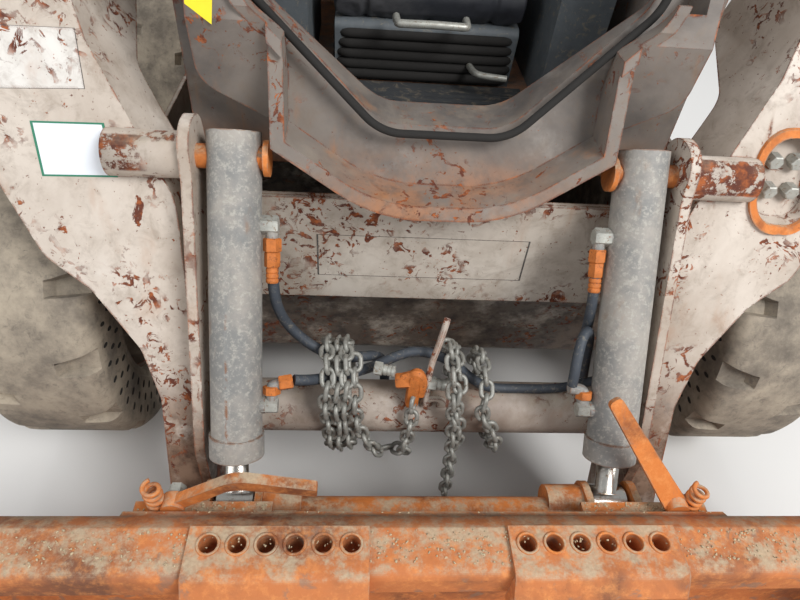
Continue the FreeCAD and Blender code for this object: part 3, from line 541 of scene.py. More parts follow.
def add_cab_frame():
    """The cab's frame with the rounded sill, the rolled bead round its opening, posts and hinge lugs."""
    top = CAB_TOP
    outer = both_halves([(123, 888, 300), (438, 1076, 60), (438, 1262), (475, 1300), (475, top)])
    inner = both_halves([(123, 913, 290), (413, 1090, 50), (413, 1262), (450, 1300), (450, top + 30)])
    opening = both_halves([(118, 1016, 110), (362, 1235, 110), (392, top - 70, 60)])
    bead = both_halves([(109, 994, 130), (384, 1226, 130), (414, top - 48, 80)])
    nose = combined("INTERSECT", prism("y", outer, -640, -95), behind_front(0, -95))
    walls = prism("x", [(-395, 885), (640, 885), (640, top), (cab_front(top), top), (-395, 1407)], -CAB_HALF, CAB_HALF)
    rim = combined("INTERSECT", prism("y", bead, -640, 0), behind_front(-12, 0))
    rim = combined("DIFFERENCE", rim, behind_front(2, 10))
    shape = combined("UNION", nose, walls, rim)
    hollow = combined("INTERSECT", prism("y", inner, -590, -75), behind_front(75, -75))
    hollow = combined("DIFFERENCE", hollow, cylinder_ways(25))
    room = prism("x", [(-370, 893), (615, 893), (615, top + 30), (-370, top + 30)], -450, 450)
    room = combined("INTERSECT", room, behind_front(75, 640))
    way_in = combined("INTERSECT", prism("y", opening, -645, 0), behind_front(-50, 0))
    window = [(-60, 1330, 40), (-60, top - 80, 40), (530, top - 80, 40), (530, 1330, 40)]
    rear = [(-360, 1420, 40), (360, 1420, 40), (360, top - 90, 40), (-360, top - 90, 40)]
    shape = combined("DIFFERENCE", shape, hollow, room, way_in, cylinder_ways(0), prism("x", window, -600, 600),
                     prism("y", rear, 580, 650))
    lug = prism("x", [(639, 1240), (711, 1264, 24), (711, 1316, 24), (639, 1350)], 328, 350)
    lug = combined("DIFFERENCE", lug, prism("x", disc(685, 1290, 14.4), 320, 360))
    socket = prism("x", disc(574, 1640, 26), 434, 451)
    socket = combined("DIFFERENCE", socket, prism("x", disc(574, 1640, 14.4), 400, 450))
    shape = combined("UNION", shape, lug, mirrored(lug), socket, mirrored(socket))
    add_piece("cab_frame_skin", cleaned(shape), CAB_PAINT, "cab", ("cab_frame",), 28.0)
    lamps = []
    lenses = []
    lamp_y = cab_front(1990)
    lamp = prism("y", disc(395, 1990, 31), lamp_y - 62, lamp_y + 4)
    lamp = combined("DIFFERENCE", lamp, prism("y", disc(395, 1990, 26), lamp_y - 63, lamp_y - 50))
    lens = prism("y", disc(395, 1990, 25.5), lamp_y - 56, lamp_y - 49.5)
    for mesh in (lamp, mirrored(lamp)):
        lamps.append(mesh)
    for mesh in (lens, mirrored(lens)):
        lenses.append(mesh)
    add_piece("work_lamp_cases", one_mesh(lamps), PLASTIC, "cab", (), 40.0)
    add_piece("work_lamp_lenses", one_mesh(lenses), LENS, "cab", (), 40.0)
    rear_lamp = prism("y", [(540, 1080, 8), (590, 1080, 8), (590, 1150, 8), (540, 1150, 8)], 1640, 1658)
    add_piece("rear_lamps", one_mesh([rear_lamp, mirrored(rear_lamp)]), WARNING, "chassis", (), 40.0)


def leg_slab(near, far):
    """A leaning slab along the leg's face, as (y, z) corners in millimetres."""
    low = 700
    high = 1200
    foot = leg_front(low)
    head = leg_front(high)
    return [(foot + near, low), (head + near, high), (head + far, high), (foot + far, low)]


def add_arms():
    """Both arms. The left one has the coupling recess in its leg's face, with a rusty raised rim."""
    dress("lift_arm_right", CREAM_LEG)
    recess = [(622, 884, 52), (732, 884, 40), (742, 1034, 52), (622, 1034, 52)]
    edge = [(608, 870, 62), (742, 870, 50), (756, 1048, 62), (608, 1048, 62)]
    pocket = combined("INTERSECT", prism("x", leg_slab(-20, 30), 560, 820), prism("y", recess, -1000, 0))
    arm = combined("DIFFERENCE", merged_copy("lift_arm_left"), pocket)
    add_piece("lift_arm_left_skin", cleaned(arm), CREAM_LEG, "lift_arms", ("lift_arm_left",), 32.0)
    rim = combined("INTERSECT", prism("x", leg_slab(-8, -0.2), 560, 820), prism("y", edge, -1000, 0))
    rim = combined("DIFFERENCE", rim, pocket)
    add_piece("recess_rim", cleaned(rim), RUST, "lift_arms", (), 40.0)
    stubs = []
    for x, z in ((655, 935), (700, 935), (655, 985), (700, 985)):
        foot = leg_face(x * 0.001, z * 0.001, -0.031)
        end = leg_face(x * 0.001, z * 0.001, -0.004)
        stubs.append(hex_sleeve(foot, end, 0.026))
    add_piece("recess_couplings", one_mesh(stubs), ZINC, "lift_arms", (), 40.0)
    tab = prism("y", [(-8, 487), (48, 487), (48, 516, 22), (-8, 516, 22)], -713, -703)
    tab = combined("DIFFERENCE", tab, prism("y", disc(20, 496, 11), -730, -690))
    add_piece("cross_tube_tab", cleaned(tab), CREAM, "lift_arms", (), 40.0)


def add_coupler():
    """The coupler's frame, open between its two plates, and the two locking levers."""
    gap = prism("x", [(-990, 424), (-900, 424), (-900, 505), (-990, 505)], -300, 300)
    frame_mesh = combined("DIFFERENCE", merged_copy("coupler_frame"), gap)
    boss = prism("x", disc(-887, 395, 39), 250, 324.8)
    add_piece("coupler_frame_skin", cleaned(frame_mesh), RUST, "coupler", ("coupler_frame",), 30.0)
    add_piece("tilt_eye_bosses", one_mesh([boss, mirrored(boss)]), RUST, "coupler", (), 30.0)
    locked = prism("y", [(0, -13), (-114, 70, 60), (-259, 44, 6), (-259, 66, 6), (-118, 98, 60), (12, 8)], 6, 26)
    raised = prism("y", [(0, -22), (-262, -13, 10), (-262, 13, 10), (0, 22)], 8, 20)
    raised.transform(Matrix.Rotation(math.radians(55), 4, "Y"))
    raised.transform(Matrix.Translation((0, 0.014, 0)) @ Matrix.Rotation(math.radians(-31), 4, "X")
                     @ Matrix.Translation((0, -0.014, 0)))
    hub = prism("y", disc(0, 0, 21), 0.3, 30)
    for name, blade, hand in (("right", locked, -1), ("left", raised, 1)):
        lever = combined("UNION", hub.copy(), blade)
        lever.transform(Matrix.Translation((0.472, -0.960, 0.503)))
        if hand < 0:
            lever = mirrored(lever)
        add_piece("coupler_lever_" + name + "_skin", cleaned(lever), RUST, "coupler",
                  ("coupler_lever_" + name,), 35.0)


def add_brackets():
    """The six-hole brackets on the bucket's beam, with a bent lip and an end leg at either side."""
    top = prism("x", [(-1012, 550.2), (-1012, 558), (-1099, 558, 20), (-1125, 518, 4), (-1117, 514), (-1095.2, 546),
                      (-1095.2, 550.2)], 120, 420)
    legs = []
    for low, high in ((120, 162), (370, 420)):
        legs.append(prism("x", [(-1095.2, 463), (-1095.2, 540), (-1103, 544), (-1117, 514), (-1107, 463)], low, high))
    bracket = combined("UNION", top, *legs)
    holes = [prism("z", disc(150 + 47 * k, -1043.5, 16), 440, 600) for k in range(6)]
    bracket = cleaned(combined("DIFFERENCE", bracket, *holes))
    add_piece("beam_brackets_skin", one_mesh([bracket, mirrored(bracket)]), BEAM_RUST, "coupler",
              ("beam_brackets",), 30.0)


def add_port_elbows():
    """The pipe elbows that come out of each tilt cylinder, welded to its barrel."""
    for name, side in SIDES:
        elbows = []
        for y, z, end_y, end_z, stub in ((-0.5791, 0.8618, -0.6034, 0.8251, 0.0),
                                         (-0.7722, 0.5698, -0.7480, 0.6065, 0.032)):
            route = [(side * 0.345, y, z), (side * 0.322, y, z), (side * 0.312, y, z), (side * 0.312, (y + end_y) / 2,
                     (z + end_z) / 2), (side * 0.312, end_y, end_z)]
            if stub:
                route.append((side * (0.312 - stub), end_y, end_z))
            elbows.append(tube_along(route, 0.012))
            elbows.append(tube_along([(side * 0.345, y, z), (side * 0.332, y, z), (side * 0.324, y, z)], 0.017))
        add_piece("port_elbows_" + name, one_mesh(elbows), CYLINDER, "tilt_barrel_" + name, (), 50.0)


class Pattern:
    """A Geometry Nodes tree with named sizes, for what repeats or follows a path."""

    def __init__(self, name, sizes):
        self.tree = bpy.data.node_groups.new(name, "GeometryNodeTree")
        face = self.tree.interface
        face.new_socket("Geometry", in_out="INPUT", socket_type="NodeSocketGeometry")
        for key, value in sizes.items():
            kind = "NodeSocketInt" if isinstance(value, int) else "NodeSocketFloat"
            face.new_socket(key, in_out="INPUT", socket_type=kind).default_value = value
        face.new_socket("Finish", in_out="INPUT", socket_type="NodeSocketMaterial")
        face.new_socket("Geometry", in_out="OUTPUT", socket_type="NodeSocketGeometry")
        self.given = self.tree.nodes.new("NodeGroupInput").outputs

    def add(self, kind, inputs=None, **settings):
        """A node with its settings, and its inputs as sockets or plain values. Gives its outputs."""
        node = self.tree.nodes.new(kind)
        for key, value in settings.items():
            setattr(node, key, value)
        for key, value in (inputs or {}).items():
            if isinstance(value, bpy.types.NodeSocket):
                self.tree.links.new(value, node.inputs[key])
            else:
                node.inputs[key].default_value = value
        return node.outputs

    def maths(self, kind, a, b=0.0):
        return self.add("ShaderNodeMath", {0: a, 1: b}, operation=kind)[0]

    def join(self, *shapes):
        node = self.tree.nodes.new("GeometryNodeJoinGeometry")
        for shape in shapes:
            self.tree.links.new(shape, node.inputs[0])
        return node.outputs[0]

    def at_places(self, shape):
        """The shape set at every given point, turned by the point's own turn."""
        turn = self.add("GeometryNodeInputNamedAttribute", {"Name": "turn"}, data_type="FLOAT_VECTOR")
        turned = self.add("FunctionNodeEulerToRotation", {"Euler": turn["Attribute"]})
        return self.add("GeometryNodeInstanceOnPoints", {
            "Points": self.given["Geometry"], "Instance": shape, "Rotation": turned["Rotation"]})["Instances"]

    def finish(self, shape):
        real = self.add("GeometryNodeRealizeInstances", {"Geometry": shape})["Geometry"]
        coated = self.add("GeometryNodeSetMaterial", {"Geometry": real, "Material": self.given["Finish"]})["Geometry"]
        end = self.tree.nodes.new("NodeGroupOutput")
        self.tree.links.new(coated, end.inputs[0])

    def make(self, base, material, **sizes):
        """The plain mesh that the pattern makes of a base mesh."""
        carrier = placed("carrier", base)
        modifier = carrier.modifiers.new("pattern", "NODES")
        modifier.node_group = self.tree
        for item in self.tree.interface.items_tree:
            if item.in_out == "INPUT" and item.name in sizes:
                modifier[item.identifier] = sizes[item.name]
            if item.in_out == "INPUT" and item.name == "Finish":
                modifier[item.identifier] = material
        mesh = worked_out(carrier)
        bpy.data.objects.remove(carrier)
        return mesh


def places_mesh(places):
    """Points with the turn that sets a shape's Z axis along each place's aim."""
    mesh = bpy.data.meshes.new("places")
    mesh.from_pydata([place for place, aim in places], [], [])
    turns = mesh.attributes.new("turn", "FLOAT_VECTOR", "POINT")
    for index, (place, aim) in enumerate(places):
        turns.data[index].vector = Vector(aim).to_track_quat("Z", "Y").to_euler()
    return mesh


def path_mesh(points, closed=False):
    mesh = bpy.data.meshes.new("path")
    count = len(points)
    edges = [(i, i + 1) for i in range(count - 1)]
    if closed:
        edges.append((count - 1, 0))
    mesh.from_pydata(points, edges, [])
    return mesh


def one_mesh(meshes):
    """Several meshes as one, so that what one body carries is one piece."""
    work = bmesh.new()
    for mesh in meshes:
        work.from_mesh(mesh)
    whole = bpy.data.meshes.new("joined")
    work.to_mesh(whole)
    work.free()
    return whole


def bolt_pattern():
    """A hexagon head on its washer, the washer's foot on the point and the head out along Z."""
    t = Pattern("hexagon bolts", {"Across": 0.018, "Head": 0.008, "Washer": 0.024})
    across = t.maths("MULTIPLY", t.given["Across"], 0.577)
    washer_radius = t.maths("MULTIPLY", t.given["Washer"], 0.5)
    head = t.add("GeometryNodeMeshCone", {"Vertices": 6, "Radius Bottom": across, "Depth": t.given["Head"],
                                          "Radius Top": t.maths("MULTIPLY", across, 0.9)})["Mesh"]
    head = t.add("GeometryNodeTransform", {"Geometry": head, "Translation": (0, 0, 0.002)})["Geometry"]
    washer = t.add("GeometryNodeMeshCone", {"Vertices": 20, "Radius Bottom": washer_radius, "Depth": 0.002,
                                            "Radius Top": t.maths("MULTIPLY", washer_radius, 0.93)})["Mesh"]
    t.finish(t.at_places(t.join(head, washer)))
    return t


def ring_pattern():
    """A round lip standing on each point, such as a pipe's end or a weld round a boss."""
    t = Pattern("round lips", {"Radius": 0.019, "Wire": 0.004, "Flat": 1.0})
    loop = t.add("GeometryNodeCurvePrimitiveCircle", {"Resolution": 36, "Radius": t.given["Radius"]})["Curve"]
    wire = t.add("GeometryNodeCurvePrimitiveCircle", {"Resolution": 8, "Radius": t.given["Wire"]})["Curve"]
    lip = t.add("GeometryNodeCurveToMesh", {"Curve": loop, "Profile Curve": wire})["Mesh"]
    t.finish(t.at_places(lip))
    return t


def hole_shade_pattern():
    """A shallow oval dish on each point, long along Y. On the tyres it is painted shade for the sidewall holes."""
    t = Pattern("oval pockets", {"Long": 0.026, "Wide": 0.012})
    dish = t.add("GeometryNodeMeshCone", {"Vertices": 14, "Radius Bottom": 0.5, "Radius Top": 0.42,
                                          "Depth": 1.0})["Mesh"]
    size = t.add("ShaderNodeCombineXYZ", {"X": t.given["Wide"], "Y": t.given["Long"], "Z": 0.0012})[0]
    dish = t.add("GeometryNodeTransform", {"Geometry": dish, "Scale": size})["Geometry"]
    t.finish(t.at_places(dish))
    return t


def chain_pattern():
    """Oval links along a path, each a quarter turn from the one before."""
    t = Pattern("chain links", {"Pitch": 0.028, "Long": 0.046, "Wide": 0.034, "Wire": 0.0050, "Closed": 0})
    path = t.add("GeometryNodeMeshToCurve", {"Mesh": t.given["Geometry"]})["Curve"]
    path = t.add("GeometryNodeCurveSplineType", {"Curve": path}, spline_type="CATMULL_ROM")["Curve"]
    length = t.add("GeometryNodeCurveLength", {"Curve": path})["Length"]
    pairs = t.maths("ROUND", t.maths("DIVIDE", length, t.maths("MULTIPLY", t.given["Pitch"], 2.0)))
    spots = t.add("GeometryNodeCurveToPoints", {"Curve": path, "Count": t.maths("MULTIPLY", pairs, 2.0)}, mode="COUNT")
    index = t.add("GeometryNodeInputIndex")["Index"]
    quarter = t.maths("MULTIPLY", t.maths("MODULO", index, 2.0), math.pi / 2)
    wobble = t.add("FunctionNodeRandomValue", {2: -0.22, 3: 0.22, "Seed": 5}, data_type="FLOAT")[1]
    roll = t.add("FunctionNodeAxisAngleToRotation", {"Axis": (0, 0, 1), "Angle": t.maths("ADD", quarter, wobble)})
    turned = t.add("FunctionNodeRotateRotation", {"Rotation": spots["Rotation"], "Rotate By": roll["Rotation"]},
                   rotation_space="LOCAL")["Rotation"]
    width = t.maths("SUBTRACT", t.given["Wide"], t.maths("MULTIPLY", t.given["Wire"], 2.0))
    height = t.maths("SUBTRACT", t.given["Long"], t.maths("MULTIPLY", t.given["Wire"], 2.0))
    centre = t.add("GeometryNodeCurvePrimitiveQuadrilateral", {"Width": width, "Height": height},
                   mode="RECTANGLE")["Curve"]
    centre = t.add("GeometryNodeFilletCurve", {"Curve": centre, "Count": 6, "Radius": t.maths("MULTIPLY", width, 0.5),
                                               "Limit Radius": True}, mode="POLY")["Curve"]
    wire = t.add("GeometryNodeCurvePrimitiveCircle", {"Resolution": 8, "Radius": t.given["Wire"]})["Curve"]
    link = t.add("GeometryNodeCurveToMesh", {"Curve": centre, "Profile Curve": wire})["Mesh"]
    link = t.add("GeometryNodeTransform", {"Geometry": link, "Rotation": (math.pi / 2, 0, 0)})["Geometry"]
    links = t.add("GeometryNodeInstanceOnPoints", {"Points": spots["Points"], "Instance": link, "Rotation": turned})
    t.finish(links["Instances"])
    return t


def coil_pattern():
    """A coil spring standing on each point."""
    t = Pattern("coil springs", {"Turns": 5.2, "Radius": 0.0135, "Height": 0.082, "Wire": 0.0042})
    coil = t.add("GeometryNodeCurveSpiral", {"Resolution": 20, "Rotations": t.given["Turns"],
                                             "Start Radius": t.given["Radius"],
                                             "End Radius": t.given["Radius"], "Height": t.given["Height"]})["Curve"]
    wire = t.add("GeometryNodeCurvePrimitiveCircle", {"Resolution": 8, "Radius": t.given["Wire"]})["Curve"]
    spring = t.add("GeometryNodeCurveToMesh", {"Curve": coil, "Profile Curve": wire, "Fill Caps": True})["Mesh"]
    t.finish(t.at_places(spring))
    return t


def grit_pattern():
    """Small stones scattered over a surface, of many sizes and turned every way."""
    t = Pattern("grit", {"Density": 9000.0, "Stone": 0.003, "Seed": 11})
    spots = t.add("GeometryNodeDistributePointsOnFaces", {"Mesh": t.given["Geometry"], "Density": t.given["Density"],
                                                          "Seed": t.given["Seed"]}, distribute_method="RANDOM")
    stone = t.add("GeometryNodeMeshIcoSphere", {"Radius": t.given["Stone"], "Subdivisions": 1})["Mesh"]
    size = t.add("FunctionNodeRandomValue", {0: (0.25, 0.25, 0.2), 1: (1.5, 1.3, 0.9), "Seed": 3},
                 data_type="FLOAT_VECTOR")[0]
    turn = t.add("FunctionNodeRandomValue", {0: (0, 0, 0), 1: (6.28, 6.28, 6.28), "Seed": 4},
                 data_type="FLOAT_VECTOR")[0]
    turned = t.add("FunctionNodeEulerToRotation", {"Euler": turn})["Rotation"]
    stones = t.add("GeometryNodeInstanceOnPoints", {"Points": spots["Points"], "Instance": stone, "Rotation": turned,
                                                    "Scale": size})["Instances"]
    t.finish(stones)
    return t


def trim_pattern():
    """A round trim along a closed path whose corners are rounded."""
    t = Pattern("round trim", {"Corner": 0.10, "Wire": 0.009})
    path = t.add("GeometryNodeMeshToCurve", {"Mesh": t.given["Geometry"]})["Curve"]
    path = t.add("GeometryNodeFilletCurve", {"Curve": path, "Count": 9, "Radius": t.given["Corner"],
                                             "Limit Radius": True}, mode="POLY")["Curve"]
    wire = t.add("GeometryNodeCurvePrimitiveCircle", {"Resolution": 10, "Radius": t.given["Wire"]})["Curve"]
    t.finish(t.add("GeometryNodeCurveToMesh", {"Curve": path, "Profile Curve": wire, "Fill Caps": True})["Mesh"])
    return t


BOLTS = bolt_pattern()
RINGS = ring_pattern()
HOLE_SHADES = hole_shade_pattern()
LINKS = chain_pattern()
COILS = coil_pattern()
STONES = grit_pattern()
TRIM = trim_pattern()


def leg_face(x, z, proud=0.0):
    """A point on the leaning front of an arm's leg, in metres."""
    return Vector((x, leg_front(z * 1000) * 0.001 - proud, z))


def cab_face(x, z, behind=0.0):
    """A point on the leaning front of the cab, in metres."""
    return Vector((x, cab_front(z * 1000) * 0.001 + behind, z))


def tyre_section():
    """Half of the tyre's outside from the rim to the middle of the tread, as (out from the middle, radius)."""
    wall = [(TYRE_HALF - 0.006, RIM_RADIUS), (TYRE_HALF - 0.001, RIM_RADIUS + 0.006), (TYRE_HALF, 0.272),
            (TYRE_HALF - 0.002, 0.276), (TYRE_HALF, 0.280), (TYRE_HALF, 0.315), (TYRE_HALF, 0.350), (TYRE_HALF, 0.378),
            (TYRE_HALF - 0.003, 0.390), (TYRE_HALF - 0.010, 0.401), (TYRE_HALF - 0.020, 0.410)]
    tread = [(TYRE_HALF - 0.030, 0.4140)]
    for step in range(1, 8):
        tread.append((0.1125 - step * 0.0145, TYRE_RADIUS))
    tread.append((0.0, TYRE_RADIUS))
    return wall + tread


def tyre_mesh(axle_y, side):
    """A solid tyre whose worn tread has notches swept in from either shoulder in turn."""
    half = tyre_section()
    section = [(-out, radius, -1) for out, radius in half] + [(out, radius, 1) for out, radius in half[-2::-1]]
    pitch = 2 * math.pi * TYRE_RADIUS / TREAD_STEPS
    verts = []
    rows = 0
    for step in range(TREAD_STEPS):
        for line in range(TREAD_LINES):
            for out, radius, hand in section:
                share = min(max((TYRE_HALF - abs(out)) / NOTCH_REACH, 0.0), 1.0)
                middle = NOTCH_SWEEP * (0.5 - share)
                edge = NOTCH_HALF - NOTCH_TAPER * share
                stops = (-pitch / 2, (middle - edge - pitch / 2) / 2 - 0.001, middle - edge - 0.004, middle - edge,
                         middle - edge / 3, middle + edge / 3, middle + edge, middle + edge + 0.004,
                         middle + edge + 0.008, (middle + edge + pitch / 2) / 2 + 0.003, pitch / 2 - 0.004)
                along = stops[line]
                notched = (hand > 0) == (step % 2 == 1) and 3 <= line <= 6 and abs(out) > TYRE_HALF - NOTCH_REACH
                floor = TYRE_RADIUS - TREAD_DEPTH
                r = min(radius, floor) if notched else radius
                turn = step * 2 * math.pi / TREAD_STEPS - along / TYRE_RADIUS
                verts.append((side * (TYRE_MIDDLE + out), axle_y - r * math.sin(turn),
                              TYRE_RADIUS + r * math.cos(turn)))
            rows += 1
    width = len(section)
    faces = []
    order = []
    for step in range(TREAD_STEPS):
        for line in range(TREAD_LINES - 1, -1, -1):
            order.append(step * TREAD_LINES + line)
    for k in range(rows):
        a = order[k] * width
        b = order[(k + 1) % rows] * width
        for i in range(width):
            j = (i + 1) % width
            faces.append((a + i, a + j, b + j, b + i))
    mesh = bpy.data.meshes.new("tyre")
    mesh.from_pydata(verts, [], faces)
    return faced_out(mesh)


def add_wheels():
    for end, axle_y in AXLE_Y.items():
        for name, side in SIDES:
            wheel = end + "_" + name
            tyre = tyre_mesh(axle_y, side)
            add_piece("tyre_" + wheel + "_rubber", tyre, RUBBER, "wheel_" + wheel, ("tyre_" + wheel,), 28.0)
            # Dark ovals on both sidewalls: painted shade where the tyre has holes through its rubber
            pockets = []
            for face in (-1, 1):
                x = side * TYRE_MIDDLE + face * (TYRE_HALF + 0.0003)
                for ring, radius in enumerate(POCKET_ROWS):
                    for k in range(POCKETS_IN_ROW):
                        turn = 2 * math.pi * (k + 0.5 * (ring % 2)) / POCKETS_IN_ROW
                        place = (x, axle_y + radius * math.sin(turn), TYRE_RADIUS + radius * math.cos(turn))
                        aim = Vector((face, 0, 0))
                        out = Vector((0, math.sin(turn), math.cos(turn)))
                        across = out.cross(aim)
                        pockets.append((place, Matrix((across, out, aim)).transposed().to_euler()))
            base = bpy.data.meshes.new("pockets")
            base.from_pydata([place for place, turn in pockets], [], [])
            turns = base.attributes.new("turn", "FLOAT_VECTOR", "POINT")
            for index, (place, turn) in enumerate(pockets):
                turns.data[index].vector = turn
            mesh = HOLE_SHADES.make(base, DARK_RUBBER_AND_HOLE_SHADE, Long=0.021, Wide=0.010)
            add_piece("tyre_" + wheel + "_pockets", mesh, DARK_RUBBER_AND_HOLE_SHADE, "wheel_" + wheel)
            nuts = []
            for k in range(NUTS_IN_RIM):
                turn = 2 * math.pi * k / NUTS_IN_RIM
                nuts.append(((side * (TYRE_MIDDLE + 0.052), axle_y + NUT_CIRCLE * math.sin(turn),
                              TYRE_RADIUS + NUT_CIRCLE * math.cos(turn)), (side, 0, 0)))
            mesh = BOLTS.make(places_mesh(nuts), RUST, Across=0.027, Head=0.016, Washer=0.034)
            add_piece("wheel_nuts_" + wheel, mesh, RUST, "wheel_" + wheel)


def loop_round_tube(x_top, x_low, top_z, low_z, lean=0.0):
    """A closed loop hung over the hoses and under the cross tube, from the top down the front and up
    behind, with its low end moved along the tube."""
    front = -0.749
    back = -0.600
    middle = (front + back) / 2
    mid_z = (top_z + low_z) / 2
    x_mid = (x_top + x_low) / 2
    return [(x_top, middle, top_z), (x_top + 0.004, front + 0.020, top_z - 0.024), (x_top, front, top_z - 0.070),
            (x_mid + lean, front, mid_z), (x_low, front, low_z + 0.070), (x_low + 0.003, front + 0.022, low_z + 0.024),
            (x_low, middle, low_z), (x_low, back - 0.022, low_z + 0.024), (x_low, back, low_z + 0.070),
            (x_mid, back, mid_z), (x_top, back, top_z - 0.070), (x_top, back - 0.020, top_z - 0.024)]


def add_chain():
    """The chain that is wound round the hoses and the cross tube, and its loose end in front."""
    loops = (
        # x at the top, x at the bottom, top, bottom, how far the middle leans
        (-0.209, -0.200, 0.617, 0.344, 0.000),
        (-0.188, -0.182, 0.613, 0.338, 0.004),
        (-0.170, -0.160, 0.616, 0.346, -0.004),
        (0.060, 0.078, 0.606, 0.350, 0.004),
        (0.118, 0.165, 0.590, 0.342, 0.004),
    )
    lengths = []
    for x_top, x_low, top_z, low_z, lean in loops:
        lengths.append(LINKS.make(path_mesh(loop_round_tube(x_top, x_low, top_z, low_z, lean), True), CHAIN))
    # the strand that drifts along under the tube and comes up again
    drift = [(-0.152, -0.690, 0.606), (-0.150, -0.736, 0.572), (-0.148, -0.749, 0.520), (-0.138, -0.750, 0.460),
             (-0.118, -0.750, 0.410), (-0.098, -0.744, 0.366), (-0.074, -0.724, 0.344), (-0.050, -0.726, 0.346),
             (-0.036, -0.746, 0.368), (-0.034, -0.750, 0.420), (-0.030, -0.748, 0.480), (-0.028, -0.730, 0.520)]
    lengths.append(LINKS.make(path_mesh(drift), CHAIN))
    # the loose end, hung over the hoses in front of the tube
    loose = [(0.044, -0.640, 0.612), (0.046, -0.676, 0.622), (0.048, -0.722, 0.602), (0.052, -0.748, 0.552),
             (0.062, -0.757, 0.460), (0.070, -0.757, 0.360), (0.074, -0.756, 0.270), (0.076, -0.756, 0.200)]
    lengths.append(LINKS.make(path_mesh(loose), CHAIN))
    add_piece("hung_chain_links", one_mesh(lengths), CHAIN, "lift_arms", (), 60.0)


def tube_along(points, radius, sides=12):
    """A round hose whose line is a NURBS spline with these points as its control points."""
    data = bpy.data.curves.new("hose", "CURVE")
    data.dimensions = "3D"
    data.bevel_depth = radius
    data.bevel_resolution = max(sides // 4 - 1, 1)
    data.resolution_u = 8
    data.use_fill_caps = True
    spline = data.splines.new("NURBS")
    spline.points.add(len(points) - 1)
    for point, place in zip(spline.points, points):
        point.co = (*place, 1.0)
    spline.order_u = 3
    spline.use_endpoint_u = True
    carrier = placed("carrier", data)
    mesh = worked_out(carrier)
    bpy.data.objects.remove(carrier)
    return mesh


# Routes of the crossing hoses, in metres
CROSS_HOSES = (
    [(-0.270, -0.743, 0.612), (-0.248, -0.737, 0.603), (-0.214, -0.708, 0.574), (-0.165, -0.678, 0.550),
     (-0.110, -0.666, 0.566), (-0.060, -0.654, 0.590), (-0.023, -0.648, 0.598), (0.020, -0.652, 0.592),
     (0.060, -0.662, 0.574), (0.100, -0.673, 0.538), (0.140, -0.677, 0.512), (0.200, -0.675, 0.5087),
     (0.300, -0.675, 0.5087), (0.380, -0.650, 0.508), (0.458, -0.630, 0.505)],
    [(-0.312, -0.609, 0.816), (-0.312, -0.636, 0.760), (-0.306, -0.640, 0.700), (-0.284, -0.634, 0.640),
     (-0.240, -0.642, 0.596), (-0.188, -0.659, 0.581), (-0.140, -0.654, 0.582), (-0.100, -0.630, 0.560),
     (-0.084, -0.6063, 0.500), (-0.078, -0.6063, 0.400)],
)
# Short hoses beside the left cylinder, from its upper port to its lower one
PORT_HOSES = (
    [(0.312, -0.612, 0.812), (0.312, -0.640, 0.770), (0.316, -0.652, 0.720), (0.326, -0.646, 0.660),
     (0.336, -0.640, 0.600), (0.342, -0.640, 0.552), (0.350, -0.640, 0.515)],
    [(0.284, -0.748, 0.618), (0.284, -0.742, 0.640), (0.288, -0.716, 0.676), (0.298, -0.690, 0.700),
     (0.314, -0.672, 0.700), (0.330, -0.662, 0.660), (0.340, -0.660, 0.600), (0.352, -0.660, 0.540)],
)


def hex_sleeve(start, end, across, collar=0.0):
    """A hexagon nut with chamfered corners between two points, with a round crimped collar after it."""
    start = Vector(start)
    run = Vector(end) - start
    turn = run.to_track_quat("Z", "Y").to_matrix()
    radius = across * 0.577
    rings = [(0.0, radius * 0.86), (0.08, radius), (0.92, radius), (1.0, radius * 0.86)]
    work = bmesh.new()
    last = None
    for share, r in rings:
        ring = []
        for k in range(6):
            a = math.pi * k / 3
            ring.append(work.verts.new(start + run * share + turn @ Vector((r * math.cos(a), r * math.sin(a), 0))))
        if last is None:
            work.faces.new(ring[::-1])
        else:
            for k in range(6):
                j = (k + 1) % 6
                work.faces.new((last[k], last[j], ring[j], ring[k]))
        last = ring
    work.faces.new(last)
    if collar:
        base = start + run
        steps = ((0.0, 0.80), (0.12, 1.0), (0.30, 1.0), (0.36, 0.86), (0.44, 1.0), (0.62, 1.0), (0.68, 0.86),
                 (0.76, 1.0), (0.92, 1.0), (1.0, 0.84))
        last = None
        for share, r in steps:
            ring = []
            for k in range(16):
                a = math.pi * k / 8
                reach = run.normalized() * collar * share
                ring.append(work.verts.new(base + reach + turn @ Vector((r * across * 0.46 * math.cos(a),
                                                                         r * across * 0.46 * math.sin(a), 0))))
            if last is None:
                work.faces.new(ring[::-1])
            else:
                for k in range(16):
                    j = (k + 1) % 16
                    work.faces.new((last[k], last[j], ring[j], ring[k]))
            last = ring
        work.faces.new(last)
    mesh = bpy.data.meshes.new("fitting")
    work.to_mesh(mesh)
    work.free()
    return mesh


